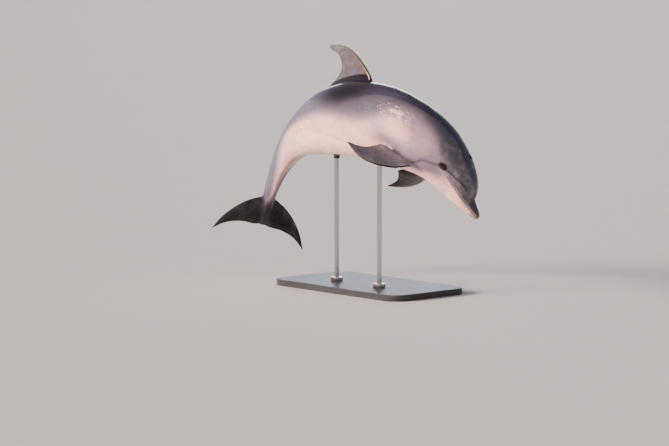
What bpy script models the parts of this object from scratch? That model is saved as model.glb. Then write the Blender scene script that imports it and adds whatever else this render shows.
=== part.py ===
"""Life-size display model of a bottlenose dolphin in mid leap, on a plain two-rod stand.

The body is one loft. Its cross-sections are set out on a straight axis, as on a boat's lines plan, and are
carried along a bent spine. Thin cuts part it into jaws, head, trunk and tail stock. The fins are foils that
meet the body with a hair's gap, and the eyes sit in round sockets. Each named part is one closed solid.

Units are metres, +Z is up, and the trunk points along +X. The origin is the centre of the stand's underside.
Stations run from 0 at the tip of the beak to 1 at the notch of the flukes. Lengths called fractions are
fractions of BODY_LENGTH.
"""

import math

import bmesh
import bpy
import numpy as np
from mathutils import Vector

BODY_LENGTH = 2.4  # tip of the beak to the notch of the flukes, along the spine
BEAK_TIP = Vector((0.80, 0.20, 0.51))  # the spine's front end
GAP = 0.0004  # clearance between neighbouring solids
BODY_SIDES = 30  # facets round the body
FIN_SIDES = 16  # facets round a fin's section
FIN_SECTIONS = 14
BALL_SIDES = 15  # facets round an eye
STATION_STEP = 0.0175  # fraction between the body's cross-sections

# The leap. At each station, in degrees: how far the snout side points down, its heading from +X, and the
# roll.
POSE = (
    (0.000, 52, 39, -2),
    (0.120, 50, 29, -9),
    (0.240, 24, 15, -14),
    (0.360, 10, 3, -16),
    (0.480, -4, -3, -14),
    (0.600, -13, -10, -10),
    (0.720, -28, -9, -22),
    (0.840, -61, 17, -46),
    (0.925, -74, 45, -70),
    (1.000, -74, 45, -70),
)

# The body's lines: station, height of the back, height of the belly, half width, and the fullness of the
# section, which is 1 where it is an ellipse, less where it is boxy and more where it narrows to a keel.
LINES = (
    (0.000, -0.0265, -0.0300, 0.0030, 1.00),  # tip of the beak
    (0.002, -0.0235, -0.0335, 0.0080, 1.00),
    (0.006, -0.0205, -0.0370, 0.0110, 0.95),
    (0.014, -0.0172, -0.0400, 0.0135, 0.90),
    (0.025, -0.0135, -0.0430, 0.0158, 0.88),
    (0.040, -0.0070, -0.0470, 0.0190, 0.90),  # crease between beak and melon
    (0.048, 0.0030, -0.0490, 0.0240, 0.92),
    (0.060, 0.0170, -0.0520, 0.0320, 0.95),
    (0.080, 0.0310, -0.0560, 0.0410, 0.98),  # front of the melon
    (0.110, 0.0440, -0.0620, 0.0500, 1.00),
    (0.145, 0.0540, -0.0680, 0.0570, 1.00),  # eyes
    (0.200, 0.0690, -0.0770, 0.0680, 1.00),  # flippers
    (0.280, 0.0840, -0.0870, 0.0810, 1.00),
    (0.370, 0.0930, -0.0930, 0.0880, 1.00),  # fullest part of the trunk
    (0.460, 0.0940, -0.0930, 0.0870, 1.00),
    (0.550, 0.0860, -0.0850, 0.0760, 1.00),
    (0.650, 0.0700, -0.0680, 0.0590, 1.10),
    (0.750, 0.0540, -0.0500, 0.0420, 1.25),  # tail stock, with a keel above and below
    (0.850, 0.0360, -0.0320, 0.0240, 1.40),
    (0.920, 0.0250, -0.0230, 0.0160, 1.35),  # front of the flukes
    (0.960, 0.0140, -0.0130, 0.0140, 1.15),
    (1.000, 0.0030, -0.0030, 0.0060, 1.00),  # notch between the flukes
)

# Where the thin cuts part the body, from head to tail.
HEAD_FRONT = 0.044
MOUTH_CORNER = 0.122
HEAD_BACK = 0.185
TRUNK_CUTS = (
    ("chest", HEAD_BACK, 0.330),
    ("belly", 0.330, 0.470),
    ("loin", 0.470, 0.610),
    ("tail_stock_front", 0.610, 0.760),
    ("tail_stock_rear", 0.760, 0.900),
    ("tail_root", 0.900, 1.000),
)
MOUTH_LINE = (
    (0.000, -0.0283), (0.030, -0.0303), (0.050, -0.0290), (0.087, -0.0250), (MOUTH_CORNER, -0.0200),
)
JAW_BLOCK_HALF_WIDTH = 0.080  # the block that the mouth's cut follows is wider and deeper than the head
JAW_BLOCK_DEPTH = -0.095

EYE_STATION = 0.143
EYE_HEIGHT = -0.010  # fraction, from the spine
EYE_RADIUS = 0.0160
EYE_SINK = 0.0110  # from the skin in to the ball's centre
BLOWHOLE_STATION = 0.126
BLOWHOLE_RADII = (0.017, 0.022, 0.011)  # along, across and into the head

# The fins' outlines, each row a section. The dorsal fin: height over the spine, station of the leading edge,
# station of the trailing edge, thickness.
DORSAL_FIN = (
    (0.0600, 0.408, 0.612, 0.0260),
    (0.0920, 0.430, 0.592, 0.0220),
    (0.1080, 0.441, 0.556, 0.0180),
    (0.1350, 0.465, 0.5415, 0.0140),
    (0.1550, 0.486, 0.5470, 0.0110),
    (0.1730, 0.507, 0.5605, 0.0084),
    (0.1860, 0.529, 0.5820, 0.0062),
    (0.1940, 0.551, 0.5930, 0.0042),
    (0.1985, 0.574, 0.5905, 0.0022),
)

# Flipper: distance from the root, leading edge, trailing edge and thickness, as fractions.
FLIPPER = (
    (-0.0450, 0.014, -0.0120, 0.0165),
    (0.0000, 0.019, -0.0115, 0.0165),
    (0.0250, 0.029, -0.0125, 0.0155),
    (0.0440, 0.035, -0.0260, 0.0135),
    (0.0630, 0.037, -0.0395, 0.0112),
    (0.0850, 0.037, -0.0290, 0.0092),
    (0.1200, 0.029, -0.0175, 0.0060),
    (0.1400, 0.014, -0.0188, 0.0042),
    (0.1530, -0.004, -0.0228, 0.0028),
    (0.1590, -0.019, -0.0240, 0.0018),
)
FLIPPER_STATION = 0.222
FLIPPER_ROUND = 45  # degrees from the side down towards the belly
FLIPPER_INSET = 0.92  # share of the body's radius at which the root starts
# Each flipper: which side (+1 right), swept back, dipped and twisted, in degrees.
FLIPPERS = (("flipper_right", 1, 39, 16, -18), ("flipper_left", -1, 37, 37, 38))

# Fluke: distance out from the midline, leading edge and trailing edge behind FLUKE_STATION, thickness.
FLUKE = (
    (0.0030, -0.0020, 0.0690, 0.0150),
    (0.0180, 0.0020, 0.0770, 0.0138),
    (0.0450, 0.0150, 0.0765, 0.0105),
    (0.0750, 0.0375, 0.0820, 0.0076),
    (0.1000, 0.0655, 0.0930, 0.0052),
    (0.1140, 0.0870, 0.1035, 0.0036),
    (0.1240, 0.1080, 0.1120, 0.0020),
)
FLUKE_STATION = 0.925

BASE_SIZE = Vector((1.10, 0.60, 0.036))
BASE_CORNER_RADIUS = 0.10
BASE_EDGE_RADIUS = 0.008
ROD_RADIUS = 0.014
ROD_STATIONS = (("front", 0.335), ("rear", 0.530))
ROD_REACH = 0.06  # how far into the body each rod is drawn before the body's outline trims it
COLLAR_RADIUS = 0.036
COLLAR_HEIGHT = 0.022
ROUND_SIDES = 24

# Name: colour, roughness, metallic.
FINISHES = {
    "cape": ((0.075, 0.078, 0.092), 0.30, 0.0),
    "flank": ((0.260, 0.245, 0.255), 0.32, 0.0),
    "belly": ((0.620, 0.520, 0.490), 0.36, 0.0),
    "fin_skin": ((0.060, 0.060, 0.068), 0.32, 0.0),
    "eye": ((0.020, 0.014, 0.010), 0.06, 0.0),
    "rod_steel": ((0.560, 0.560, 0.570), 0.25, 1.0),
    "base_paint": ((0.045, 0.047, 0.050), 0.45, 0.0),
}


def monotone(xs, ys, x):
    """The smooth curve through the points (xs, ys) that never overshoots them, read at x."""
    xs, ys, x = (np.asarray(values, float) for values in (xs, ys, x))
    width = np.diff(xs)
    slope = np.diff(ys) / width
    tangent = np.concatenate([slope[:1], np.zeros(len(xs) - 2), slope[-1:]])
    for i in range(1, len(xs) - 1):
        if slope[i - 1] * slope[i] > 0:
            before = 2 * width[i] + width[i - 1]
            after = width[i] + 2 * width[i - 1]
            tangent[i] = (before + after) / (before / slope[i - 1] + after / slope[i])
    k = np.clip(np.searchsorted(xs, x) - 1, 0, len(width) - 1)
    t = (x - xs[k]) / width[k]
    start = (1 + 2 * t) * (1 - t) ** 2 * ys[k] + t * (1 - t) ** 2 * width[k] * tangent[k]
    end = t * t * (3 - 2 * t) * ys[k + 1] - t * t * (1 - t) * width[k] * tangent[k + 1]
    return start + end


def curve_of(rows, column):
    """A function of station that runs smoothly through one column of a table."""
    stations = [row[0] for row in rows]
    values = [row[column] for row in rows]
    return lambda station: monotone(stations, values, station)


BACK, BELLY, HALF_WIDTH, FULLNESS = (curve_of(LINES, column) for column in (1, 2, 3, 4))
MOUTH_HEIGHT = curve_of(MOUTH_LINE, 1)


def directions(station):
    """Forward, right and up of the body at a station, as unit vectors in columns of three."""
    down, heading, roll = (np.radians(curve_of(POSE, column)(station)) for column in (1, 2, 3))
    level = np.zeros_like(down)
    ahead = np.stack([np.cos(down) * np.cos(heading), np.cos(down) * np.sin(heading), -np.sin(down)], -1)
    upright = np.stack([np.sin(down) * np.cos(heading), np.sin(down) * np.sin(heading), np.cos(down)], -1)
    beside = np.stack([np.sin(heading), -np.cos(heading), level], -1)
    cos_roll, sin_roll = np.cos(roll)[..., None], np.sin(roll)[..., None]
    return ahead, cos_roll * beside - sin_roll * upright, cos_roll * upright + sin_roll * beside


SPINE_STEPS = 240
SPINE_STATIONS = np.linspace(0.0, 1.0, SPINE_STEPS + 1)
SPINE_AHEAD = directions((SPINE_STATIONS[1:] + SPINE_STATIONS[:-1]) / 2)[0]
SPINE_WALK = np.cumsum(SPINE_AHEAD, axis=0) * BODY_LENGTH / SPINE_STEPS
SPINE_POINTS = np.array(BEAK_TIP) - np.concatenate([np.zeros((1, 3)), SPINE_WALK])


def spine(station):
    """The spine's point and its forward, right and up at a station. It runs on straight past both ends."""
    inside = min(max(station, 0.0), 1.0)
    ahead, right, up = (Vector(direction) for direction in directions(np.float64(inside)))
    point = Vector(np.interp(inside, SPINE_STATIONS, SPINE_POINTS[:, axis]) for axis in range(3))
    return point - ahead * (station - inside) * BODY_LENGTH, ahead, right, up


def on_body(station, angle, outset=0.0, share=1.0):
    """A point of the skin: angle 0 is the animal's right side and 90 degrees its back."""
    inside = min(max(station, 0.0), 1.0)
    point, _, right, up = spine(station)
    back, belly = BACK(inside) * BODY_LENGTH, BELLY(inside) * BODY_LENGTH
    across, high = math.cos(angle), math.sin(angle)
    wide = share * (HALF_WIDTH(inside) * BODY_LENGTH + outset)
    tall = share * ((back - belly) / 2 + outset)
    across = math.copysign(abs(across) ** FULLNESS(inside), across)
    return point + right * wide * across + up * ((back + belly) / 2 + tall * high)


def skin_of(name, colour, roughness, metallic):
    """A plain material with one colour."""
    made = bpy.data.materials.new(name)
    made.use_nodes = True
    shader = made.node_tree.nodes["Principled BSDF"]
    shader.inputs["Base Color"].default_value = (*colour, 1.0)
    shader.inputs["Roughness"].default_value = roughness
    shader.inputs["Metallic"].default_value = metallic
    return made


def object_from(bm, name, finish, smooth=True):
    """An object that takes over the bmesh. A finish of None makes it a hidden cutter."""
    bm.normal_update()
    bmesh.ops.recalc_face_normals(bm, faces=bm.faces)
    mesh = bpy.data.meshes.new(name)
    bm.to_mesh(mesh)
    bm.free()
    made = bpy.data.objects.new(name, mesh)
    bpy.context.scene.collection.objects.link(made)
    if finish is None:
        made.hide_render = True
        made.display_type = "WIRE"
        return made
    made.data.materials.append(bpy.data.materials[finish])
    if smooth:
        mesh.shade_smooth()
        mesh.set_sharp_from_angle(angle=math.radians(40))
    return made


def tube(name, rows, sides, point, finish):
    """A closed tube. point(row, angle) gives its wall, and a flat face closes each end."""
    bm = bmesh.new()
    last = len(rows) - 1
    bmesh.ops.create_grid(bm, x_segments=last, y_segments=sides, size=1.0)
    for vert in bm.verts:
        row = rows[round((vert.co.x + 1) / 2 * last)]
        turn = round((vert.co.y + 1) / 2 * sides) % sides
        vert.co = point(row, 2 * math.pi * turn / sides)
    bmesh.ops.remove_doubles(bm, verts=bm.verts, dist=1e-6)
    bmesh.ops.holes_fill(bm, edges=bm.edges, sides=0)
    # Neighbours that follow the same rows then share their diagonals too, and keep their gap.
    bmesh.ops.triangulate(bm, faces=bm.faces, quad_method="FIXED")
    return object_from(bm, name, finish)


def boolean(made, operation, *cutters):
    """Adds one Boolean to an object, worked out exactly, with all its cutters at once."""
    modifier = made.modifiers.new(operation.lower(), "BOOLEAN")
    modifier.operation = operation
    modifier.solver = "EXACT"
    if len(cutters) == 1:
        modifier.object = cutters[0]
        return
    modifier.operand_type = "COLLECTION"
    modifier.collection = bpy.data.collections.new("cutters_" + made.name)
    for cutter in cutters:
        modifier.collection.objects.link(cutter)


def body_stations():
    """Every cross-section of the body: those of its lines and cuts, and steps on long stretches."""
    marks = sorted({row[0] for row in LINES} | {HEAD_FRONT} | {front for _, front, _ in TRUNK_CUTS})
    steps = []
    for mark, after in zip(marks, marks[1:]):
        parts = max(1, round((after - mark) / STATION_STEP))
        steps += [mark + (after - mark) * i / parts for i in range(parts)]
    return steps + [1.0]


def stations_between(front, rear):
    """The body's cross-sections inside a stretch, and its two ends."""
    margin = 2 * GAP / BODY_LENGTH
    return [front] + [s for s in body_stations() if front + margin < s < rear - margin] + [rear]


def body_length(name, front, rear, finish, trim=GAP / 2, outset=0.0):
    """A stretch of the body, cut short by trim at each end so that neighbours keep their gap."""
    spare = trim / BODY_LENGTH
    rows = stations_between(front + spare, rear - spare)
    return tube(name, rows, BODY_SIDES, lambda row, angle: on_body(row, angle, outset), finish)


def jaw_block(name, drop, rear):
    """The space under the mouth line, drop below it, from before the beak back to a station."""
    rows = [-0.01] + stations_between(0.001, rear)

    def corner(station, angle):
        point, _, right, up = spine(station)
        side = math.copysign(JAW_BLOCK_HALF_WIDTH, math.cos(angle)) * BODY_LENGTH
        roof = MOUTH_HEIGHT(max(station, 0.0)) * BODY_LENGTH - drop
        height = roof if math.sin(angle) > 0 else JAW_BLOCK_DEPTH * BODY_LENGTH
        return point + right * side + up * height

    return tube(name, rows, 4, lambda row, angle: corner(row, angle + math.pi / 4), None)


def ball(name, centre, radii, axes, finish):
    """An ellipsoid with its own three axes."""
    bm = bmesh.new()
    bmesh.ops.create_uvsphere(bm, u_segments=BALL_SIDES, v_segments=BALL_SIDES * 2 // 3, radius=1.0)
    for vert in bm.verts:
        vert.co = centre + sum((axis * r * c for axis, r, c in zip(axes, radii, vert.co)), Vector())
    return object_from(bm, name, finish)


def foil(name, table, place, whole_body):
    """A fin. place(span, across, thick) puts a point of it, and the body's outline trims its foot."""
    marks = [row[0] for row in table]
    # Sections crowd towards the tip, where the outline turns.
    spans = marks[-1] - (marks[-1] - marks[0]) * np.linspace(1.0, 0.0, FIN_SECTIONS) ** 1.5
    rows = list(zip(*(monotone(marks, column, spans) for column in zip(*table))))

    def point(row, angle):
        span, lead, trail, thickness = row
        chord = math.cos(angle)
        half = 0.5 * math.sin(angle) * (1.0 + 0.3 * chord)
        across = (lead + trail) / 2 + chord * (lead - trail) / 2
        return place(float(span), float(across), float(half * thickness * BODY_LENGTH))

    fin = tube(name, rows, FIN_SIDES, point, "fin_skin")
    boolean(fin, "DIFFERENCE", whole_body)


def make_head():
    """Jaws, head, eyes and blowhole."""
    block_for_head = jaw_block("cutter_under_mouth", 0.0, MOUTH_CORNER)
    block_for_jaw = jaw_block("cutter_lower_jaw", GAP, MOUTH_CORNER - GAP / BODY_LENGTH)
    upper_jaw = body_length("upper_jaw", -GAP / 2 / BODY_LENGTH, HEAD_FRONT, "cape")
    boolean(upper_jaw, "DIFFERENCE", block_for_head)
    lower_jaw = body_length("lower_jaw", -GAP / 2 / BODY_LENGTH, MOUTH_CORNER + 0.004, "belly")
    boolean(lower_jaw, "INTERSECT", block_for_jaw)
    head = body_length("head", HEAD_FRONT, HEAD_BACK, "flank")
    head_cutters = [block_for_head]

    middle = (BACK(EYE_STATION) + BELLY(EYE_STATION)) / 2
    tall = (BACK(EYE_STATION) - BELLY(EYE_STATION)) / 2
    lift = math.asin((EYE_HEIGHT - middle) / tall)
    for name, angle in (("eye_right", lift), ("eye_left", math.pi - lift)):
        surface = on_body(EYE_STATION, angle)
        spine_point, ahead, _, _ = spine(EYE_STATION)
        inward = (spine_point - surface).normalized()
        centre = surface + inward * EYE_SINK
        axes = (ahead, inward, ahead.cross(inward).normalized())
        ball(name, centre, [EYE_RADIUS] * 3, axes, "eye")
        head_cutters.append(ball("cutter_" + name, centre, [EYE_RADIUS + GAP] * 3, axes, None))

    _, ahead, right, up = spine(BLOWHOLE_STATION)
    crown = on_body(BLOWHOLE_STATION, math.pi / 2)
    head_cutters.append(ball("cutter_blowhole", crown, BLOWHOLE_RADII, (ahead, right, up), None))
    boolean(head, "DIFFERENCE", *head_cutters)


def make_trunk():
    """Chest, belly, loin and the tail stock's three lengths."""
    for name, front, rear in TRUNK_CUTS:
        body_length(name, front, rear, "flank")


def make_dorsal_fin(whole_body):
    """The swept fin on the back. It follows the spine's bend, and its foot is inside the body."""

    def place(height, station, thick):
        base, _, right, up = spine(station)
        return base + up * height * BODY_LENGTH + right * thick

    foil("dorsal_fin", DORSAL_FIN, place, whole_body)


def make_flipper(name, side, back, dip, twist, whole_body):
    """A flipper from the lower flank, swept back and dipped, its leading edge turned about its length."""
    back, dip, twist = (math.radians(angle) for angle in (back, dip, twist))
    _, ahead, right, up = spine(FLIPPER_STATION)
    round_angle = -math.radians(FLIPPER_ROUND)
    if side < 0:
        round_angle = math.pi - round_angle
    root = on_body(FLIPPER_STATION, round_angle, share=FLIPPER_INSET)
    along = -ahead * math.sin(back) * math.cos(dip) + right * side * math.cos(back) * math.cos(dip)
    along -= up * math.sin(dip)
    flat = (ahead - along * ahead.dot(along)).normalized()
    edge = flat * math.cos(twist * side) + along.cross(flat) * math.sin(twist * side)
    face = along.cross(edge)

    def place(span, across, thick):
        return root + (along * span + edge * across) * BODY_LENGTH + face * thick

    foil(name, FLIPPER, place, whole_body)


def make_fluke(name, side, whole_body):
    """One half of the tail's fin, level with the body's own right and left."""
    root, ahead, right, up = spine(FLUKE_STATION)

    def place(span, behind, thick):
        return root + (right * side * span - ahead * behind) * BODY_LENGTH + up * thick

    foil(name, FLUKE, place, whole_body)


def make_stand(whole_body):
    """A flat base with rounded corners, and two upright rods that end at the belly, each in a collar."""
    bm = bmesh.new()
    bmesh.ops.create_cube(bm, size=1.0)
    bmesh.ops.scale(bm, verts=bm.verts, vec=BASE_SIZE)
    bmesh.ops.translate(bm, verts=bm.verts, vec=(0, 0, BASE_SIZE.z / 2))
    upright = [edge for edge in bm.edges if abs(edge.verts[0].co.z - edge.verts[1].co.z) > BASE_SIZE.z / 2]
    bmesh.ops.bevel(bm, geom=upright, offset=BASE_CORNER_RADIUS, affect="EDGES", segments=8, profile=0.5)
    rim = [edge for edge in bm.edges if all(vert.co.z > BASE_SIZE.z / 2 for vert in edge.verts)]
    bmesh.ops.bevel(bm, geom=rim, offset=BASE_EDGE_RADIUS, affect="EDGES", segments=3, profile=0.5)
    object_from(bm, "stand_base", "base_paint")

    for place, station in ROD_STATIONS:
        belly = on_body(station, -math.pi / 2)
        foot = Vector((belly.x, belly.y, BASE_SIZE.z + GAP))
        rod_rows = (foot.z, belly.z + ROD_REACH)
        rod = tube("stand_rod_" + place, rod_rows, ROUND_SIDES,
                   lambda z, angle: Vector((foot.x + ROD_RADIUS * math.cos(angle),
                                            foot.y + ROD_RADIUS * math.sin(angle), z)), "rod_steel")
        boolean(rod, "DIFFERENCE", whole_body)
        make_collar("stand_collar_" + place, foot)


def make_collar(name, foot):
    """A turned ring round the rod's foot, with a rounded shoulder."""
    bore = ROD_RADIUS + GAP
    shoulder = 0.004
    profile = [(bore, 0.0), (COLLAR_RADIUS, 0.0), (COLLAR_RADIUS, COLLAR_HEIGHT - shoulder)]
    profile += [(COLLAR_RADIUS - 0.3 * shoulder, COLLAR_HEIGHT - 0.3 * shoulder)]
    profile += [(COLLAR_RADIUS - shoulder, COLLAR_HEIGHT), (bore, COLLAR_HEIGHT)]
    bm = bmesh.new()
    verts = [bm.verts.new((foot.x + radius, foot.y, foot.z + height)) for radius, height in profile]
    face = bm.faces.new(verts)
    bmesh.ops.spin(bm, geom=[face, *face.verts, *face.edges], cent=foot, axis=(0, 0, 1),
                   angle=2 * math.pi, steps=ROUND_SIDES, use_merge=True)
    inner = [face for face in bm.faces if len(face.verts) > 4]
    bmesh.ops.delete(bm, geom=inner, context="FACES")
    bmesh.ops.remove_doubles(bm, verts=bm.verts, dist=1e-6)
    object_from(bm, name, "rod_steel")


def main():
    for old in list(bpy.data.objects):
        bpy.data.objects.remove(old)
    for name, (colour, roughness, metallic) in FINISHES.items():
        skin_of(name, colour, roughness, metallic)
    whole_body = body_length("cutter_whole_body", 0.0, 1.0, None, trim=-GAP, outset=GAP)
    make_head()
    make_trunk()
    make_dorsal_fin(whole_body)
    for name, side, back, dip, twist in FLIPPERS:
        make_flipper(name, side, back, dip, twist, whole_body)
    make_fluke("fluke_right", 1, whole_body)
    make_fluke("fluke_left", -1, whole_body)
    make_stand(whole_body)


main()
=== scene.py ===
"""Looks of a life-size bottlenose dolphin model in mid leap: a wet skin, two eyes, a stand and a studio.

The skin is one seamless tube of quads from the beak to the notch of the flukes. It follows the same spine
and the same lines as the solid model. The fins, the eyelids and the blowhole grow out of rims cut in that
tube, ring by ring. The markings are masks worked out from two body coordinates: the station, from 0 at the
tip of the beak to 1 at the notch of the flukes, and the lift, from -90 degrees on the belly to 90 on the
back. Units are metres, and the tables of the body's lines and fins are in shares of its length.
"""

import math

import bmesh
import bpy
import numpy as np
from bpy.props import FloatProperty, FloatVectorProperty, IntProperty, PointerProperty
from bpy.types import Operator, Panel, PropertyGroup
from mathutils import Matrix, Vector


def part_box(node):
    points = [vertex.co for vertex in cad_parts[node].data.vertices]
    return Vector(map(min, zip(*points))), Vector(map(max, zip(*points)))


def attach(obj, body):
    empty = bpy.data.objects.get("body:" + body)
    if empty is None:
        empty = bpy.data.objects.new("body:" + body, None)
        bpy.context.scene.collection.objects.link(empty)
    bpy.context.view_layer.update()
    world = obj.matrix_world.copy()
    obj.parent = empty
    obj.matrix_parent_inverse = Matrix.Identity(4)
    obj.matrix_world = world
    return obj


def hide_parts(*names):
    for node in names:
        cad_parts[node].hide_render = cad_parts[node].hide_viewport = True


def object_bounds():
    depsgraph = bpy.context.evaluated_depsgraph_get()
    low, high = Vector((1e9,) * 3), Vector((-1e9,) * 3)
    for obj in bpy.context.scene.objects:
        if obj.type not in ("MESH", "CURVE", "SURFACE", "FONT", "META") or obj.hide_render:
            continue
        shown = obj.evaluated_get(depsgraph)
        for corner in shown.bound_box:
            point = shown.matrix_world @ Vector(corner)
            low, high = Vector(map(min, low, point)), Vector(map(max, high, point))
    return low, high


bl_info = {
    "name": "Leaping Dolphin Model",
    "version": (1, 0, 0),
    "blender": (4, 5, 0),
    "location": "View3D > Sidebar > Dolphin",
    "description": "Builds the skin, eyes, stand finish and studio of a life-size dolphin model",
    "category": "Object",
}

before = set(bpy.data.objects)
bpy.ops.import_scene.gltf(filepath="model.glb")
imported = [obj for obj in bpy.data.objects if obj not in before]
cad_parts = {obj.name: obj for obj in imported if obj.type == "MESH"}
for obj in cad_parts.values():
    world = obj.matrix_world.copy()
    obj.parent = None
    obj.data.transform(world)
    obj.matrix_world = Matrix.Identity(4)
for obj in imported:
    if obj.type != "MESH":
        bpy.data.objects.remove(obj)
CAD_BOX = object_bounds()

# ------------------------------------------------------------
# The body's lines and its leap, as the solid model has them.

LENGTH = 2.4  # tip of the beak to the notch of the flukes, along the spine
BEAK_TIP = (0.80, 0.20, 0.51)  # the spine's front end

# Station, then in degrees how far the snout side points down, its heading from +X, and the roll.
POSE = (
    (0.000, 52, 39, -2),
    (0.120, 50, 29, -9),
    (0.240, 24, 15, -14),
    (0.360, 10, 3, -16),
    (0.480, -4, -3, -14),
    (0.600, -13, -10, -10),
    (0.720, -28, -9, -22),
    (0.840, -61, 17, -46),
    (0.925, -74, 45, -70),
    (1.000, -74, 45, -70),
)

# Station, height of the back, height of the belly, half width, fullness of the section.
LINES = (
    (0.000, -0.0265, -0.0300, 0.0030, 1.00),
    (0.002, -0.0235, -0.0335, 0.0080, 1.00),
    (0.006, -0.0205, -0.0370, 0.0110, 0.95),
    (0.014, -0.0172, -0.0400, 0.0135, 0.90),
    (0.025, -0.0135, -0.0430, 0.0158, 0.88),
    (0.040, -0.0070, -0.0470, 0.0190, 0.90),
    (0.048, 0.0030, -0.0490, 0.0240, 0.92),
    (0.060, 0.0170, -0.0520, 0.0320, 0.95),
    (0.080, 0.0310, -0.0560, 0.0410, 0.98),
    (0.110, 0.0440, -0.0620, 0.0500, 1.00),
    (0.145, 0.0540, -0.0680, 0.0570, 1.00),
    (0.200, 0.0690, -0.0770, 0.0680, 1.00),
    (0.280, 0.0840, -0.0870, 0.0810, 1.00),
    (0.370, 0.0930, -0.0930, 0.0880, 1.00),
    (0.460, 0.0940, -0.0930, 0.0870, 1.00),
    (0.550, 0.0860, -0.0850, 0.0760, 1.00),
    (0.650, 0.0700, -0.0680, 0.0590, 1.10),
    (0.750, 0.0540, -0.0500, 0.0420, 1.25),
    (0.850, 0.0360, -0.0320, 0.0240, 1.40),
    (0.920, 0.0250, -0.0230, 0.0160, 1.35),
    (0.960, 0.0140, -0.0130, 0.0140, 1.15),
    (1.000, 0.0030, -0.0030, 0.0060, 1.00),
)
MOUTH_CORNER = 0.122
MOUTH_LINE = ((0.000, -0.0283), (0.030, -0.0303), (0.050, -0.0290), (0.087, -0.0250), (MOUTH_CORNER, -0.0200))
EYE_STATION = 0.143
EYE_HEIGHT = -0.010
LID_CLEARANCE = 0.0007  # between an eyeball and the margin of its lids
BLOWHOLE_STATION = 0.126
BLOWHOLE_LIFT = 82  # a little to the right of the midline
# Half length and half height, in metres, of the openings that the lids and the blowhole grow out of.
LID_OPENING = (0.030, 0.027)
BLOWHOLE_OPENING = (0.030, 0.034)

# Height over the spine, station of the leading edge, station of the trailing edge, thickness.
DORSAL_FIN = (
    (0.0600, 0.408, 0.612, 0.0260),
    (0.0920, 0.430, 0.592, 0.0220),
    (0.1080, 0.441, 0.556, 0.0180),
    (0.1350, 0.465, 0.5415, 0.0140),
    (0.1550, 0.486, 0.5470, 0.0110),
    (0.1730, 0.507, 0.5605, 0.0084),
    (0.1860, 0.529, 0.5820, 0.0062),
    (0.1930, 0.549, 0.5905, 0.0044),
    (0.1970, 0.566, 0.5930, 0.0030),
    (0.1990, 0.581, 0.5920, 0.0018),
)

# Distance from the root, leading edge, trailing edge, thickness.
FLIPPER = (
    (-0.0450, 0.014, -0.0120, 0.0165),
    (0.0000, 0.019, -0.0115, 0.0165),
    (0.0250, 0.029, -0.0125, 0.0155),
    (0.0440, 0.035, -0.0260, 0.0135),
    (0.0630, 0.037, -0.0395, 0.0112),
    (0.0850, 0.037, -0.0290, 0.0092),
    (0.1200, 0.029, -0.0175, 0.0060),
    (0.1400, 0.014, -0.0188, 0.0042),
    (0.1530, -0.004, -0.0228, 0.0028),
    (0.1590, -0.019, -0.0240, 0.0018),
)
FLIPPER_STATION = 0.222
FLIPPER_ROUND = 45
FLIPPER_INSET = 0.92
FLIPPERS = ((1, 39, 16, -18), (-1, 37, 37, 38))  # side (+1 right), degrees swept back, dipped, twisted

# Distance out from the midline, leading edge and trailing edge behind FLUKE_STATION, thickness.
FLUKE = (
    (0.0030, -0.0020, 0.0690, 0.0150),
    (0.0180, 0.0020, 0.0770, 0.0138),
    (0.0450, 0.0150, 0.0765, 0.0105),
    (0.0750, 0.0375, 0.0820, 0.0076),
    (0.1000, 0.0655, 0.0930, 0.0052),
    (0.1140, 0.0870, 0.1035, 0.0036),
    (0.1240, 0.1080, 0.1120, 0.0020),
)
FLUKE_STATION = 0.925

# How far a fin's first ring stands off the body, and how far its rim lies before, behind and beside its foot.
FIN_FEET = {
    "fin": (0.014, (0.016, 0.016, 0.016)),
    "paddle": (0.013, (0.030, 0.016, 0.020)),
    "fluke": (0.020, (0.020, 0.006, 0.024)),
}
# Where a fin's own colour starts and is full: -1 at the rim, 0 at the foot and 1 at the tip.
FIN_STARTS = {"fin": (0.05, 0.20), "paddle": (-0.30, 0.16), "fluke": (-1.0, -0.30)}

FLESH_NODES = (
    "upper_jaw", "lower_jaw", "head", "chest", "belly", "loin", "tail_stock_front", "tail_stock_rear",
    "tail_root", "dorsal_fin", "flipper_left", "flipper_right", "fluke_left", "fluke_right",
)

# How far each ring of the eyelids and of the blowhole is from its rim to its margin, as a share, and how far
# it lies under the surface there (minus) or over it, in metres.
LID_RINGS = (
    (0.12, 0.0), (0.24, 0.0), (0.35, 0.0), (0.45, 0.0), (0.54, 0.0), (0.62, 0.0), (0.69, 0.0), (0.75, 0.0),
    (0.80, 0.0), (0.845, 0.0), (0.885, 0.0), (0.915, 0.0002), (0.942, 0.0003), (0.965, 0.0002),
    (0.985, -0.0003), (0.997, -0.0010), (1.010, -0.0022), (1.03, -0.0050), (1.06, -0.0110),
)
BLOWHOLE_RINGS = (
    (0.14, 0.0), (0.28, 0.0), (0.41, 0.0), (0.53, 0.0), (0.64, 0.0), (0.74, 0.0), (0.82, 0.0), (0.88, 0.0),
    (0.93, 0.0), (0.965, 0.0), (0.99, -0.0005), (1.0, -0.0018), (1.0, -0.0045), (1.02, -0.008),
    (1.06, -0.012), (1.12, -0.016),
)

# ------------------------------------------------------------
# Markings and relief. A row of two is a station and the lift, in degrees, of a line there.

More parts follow.
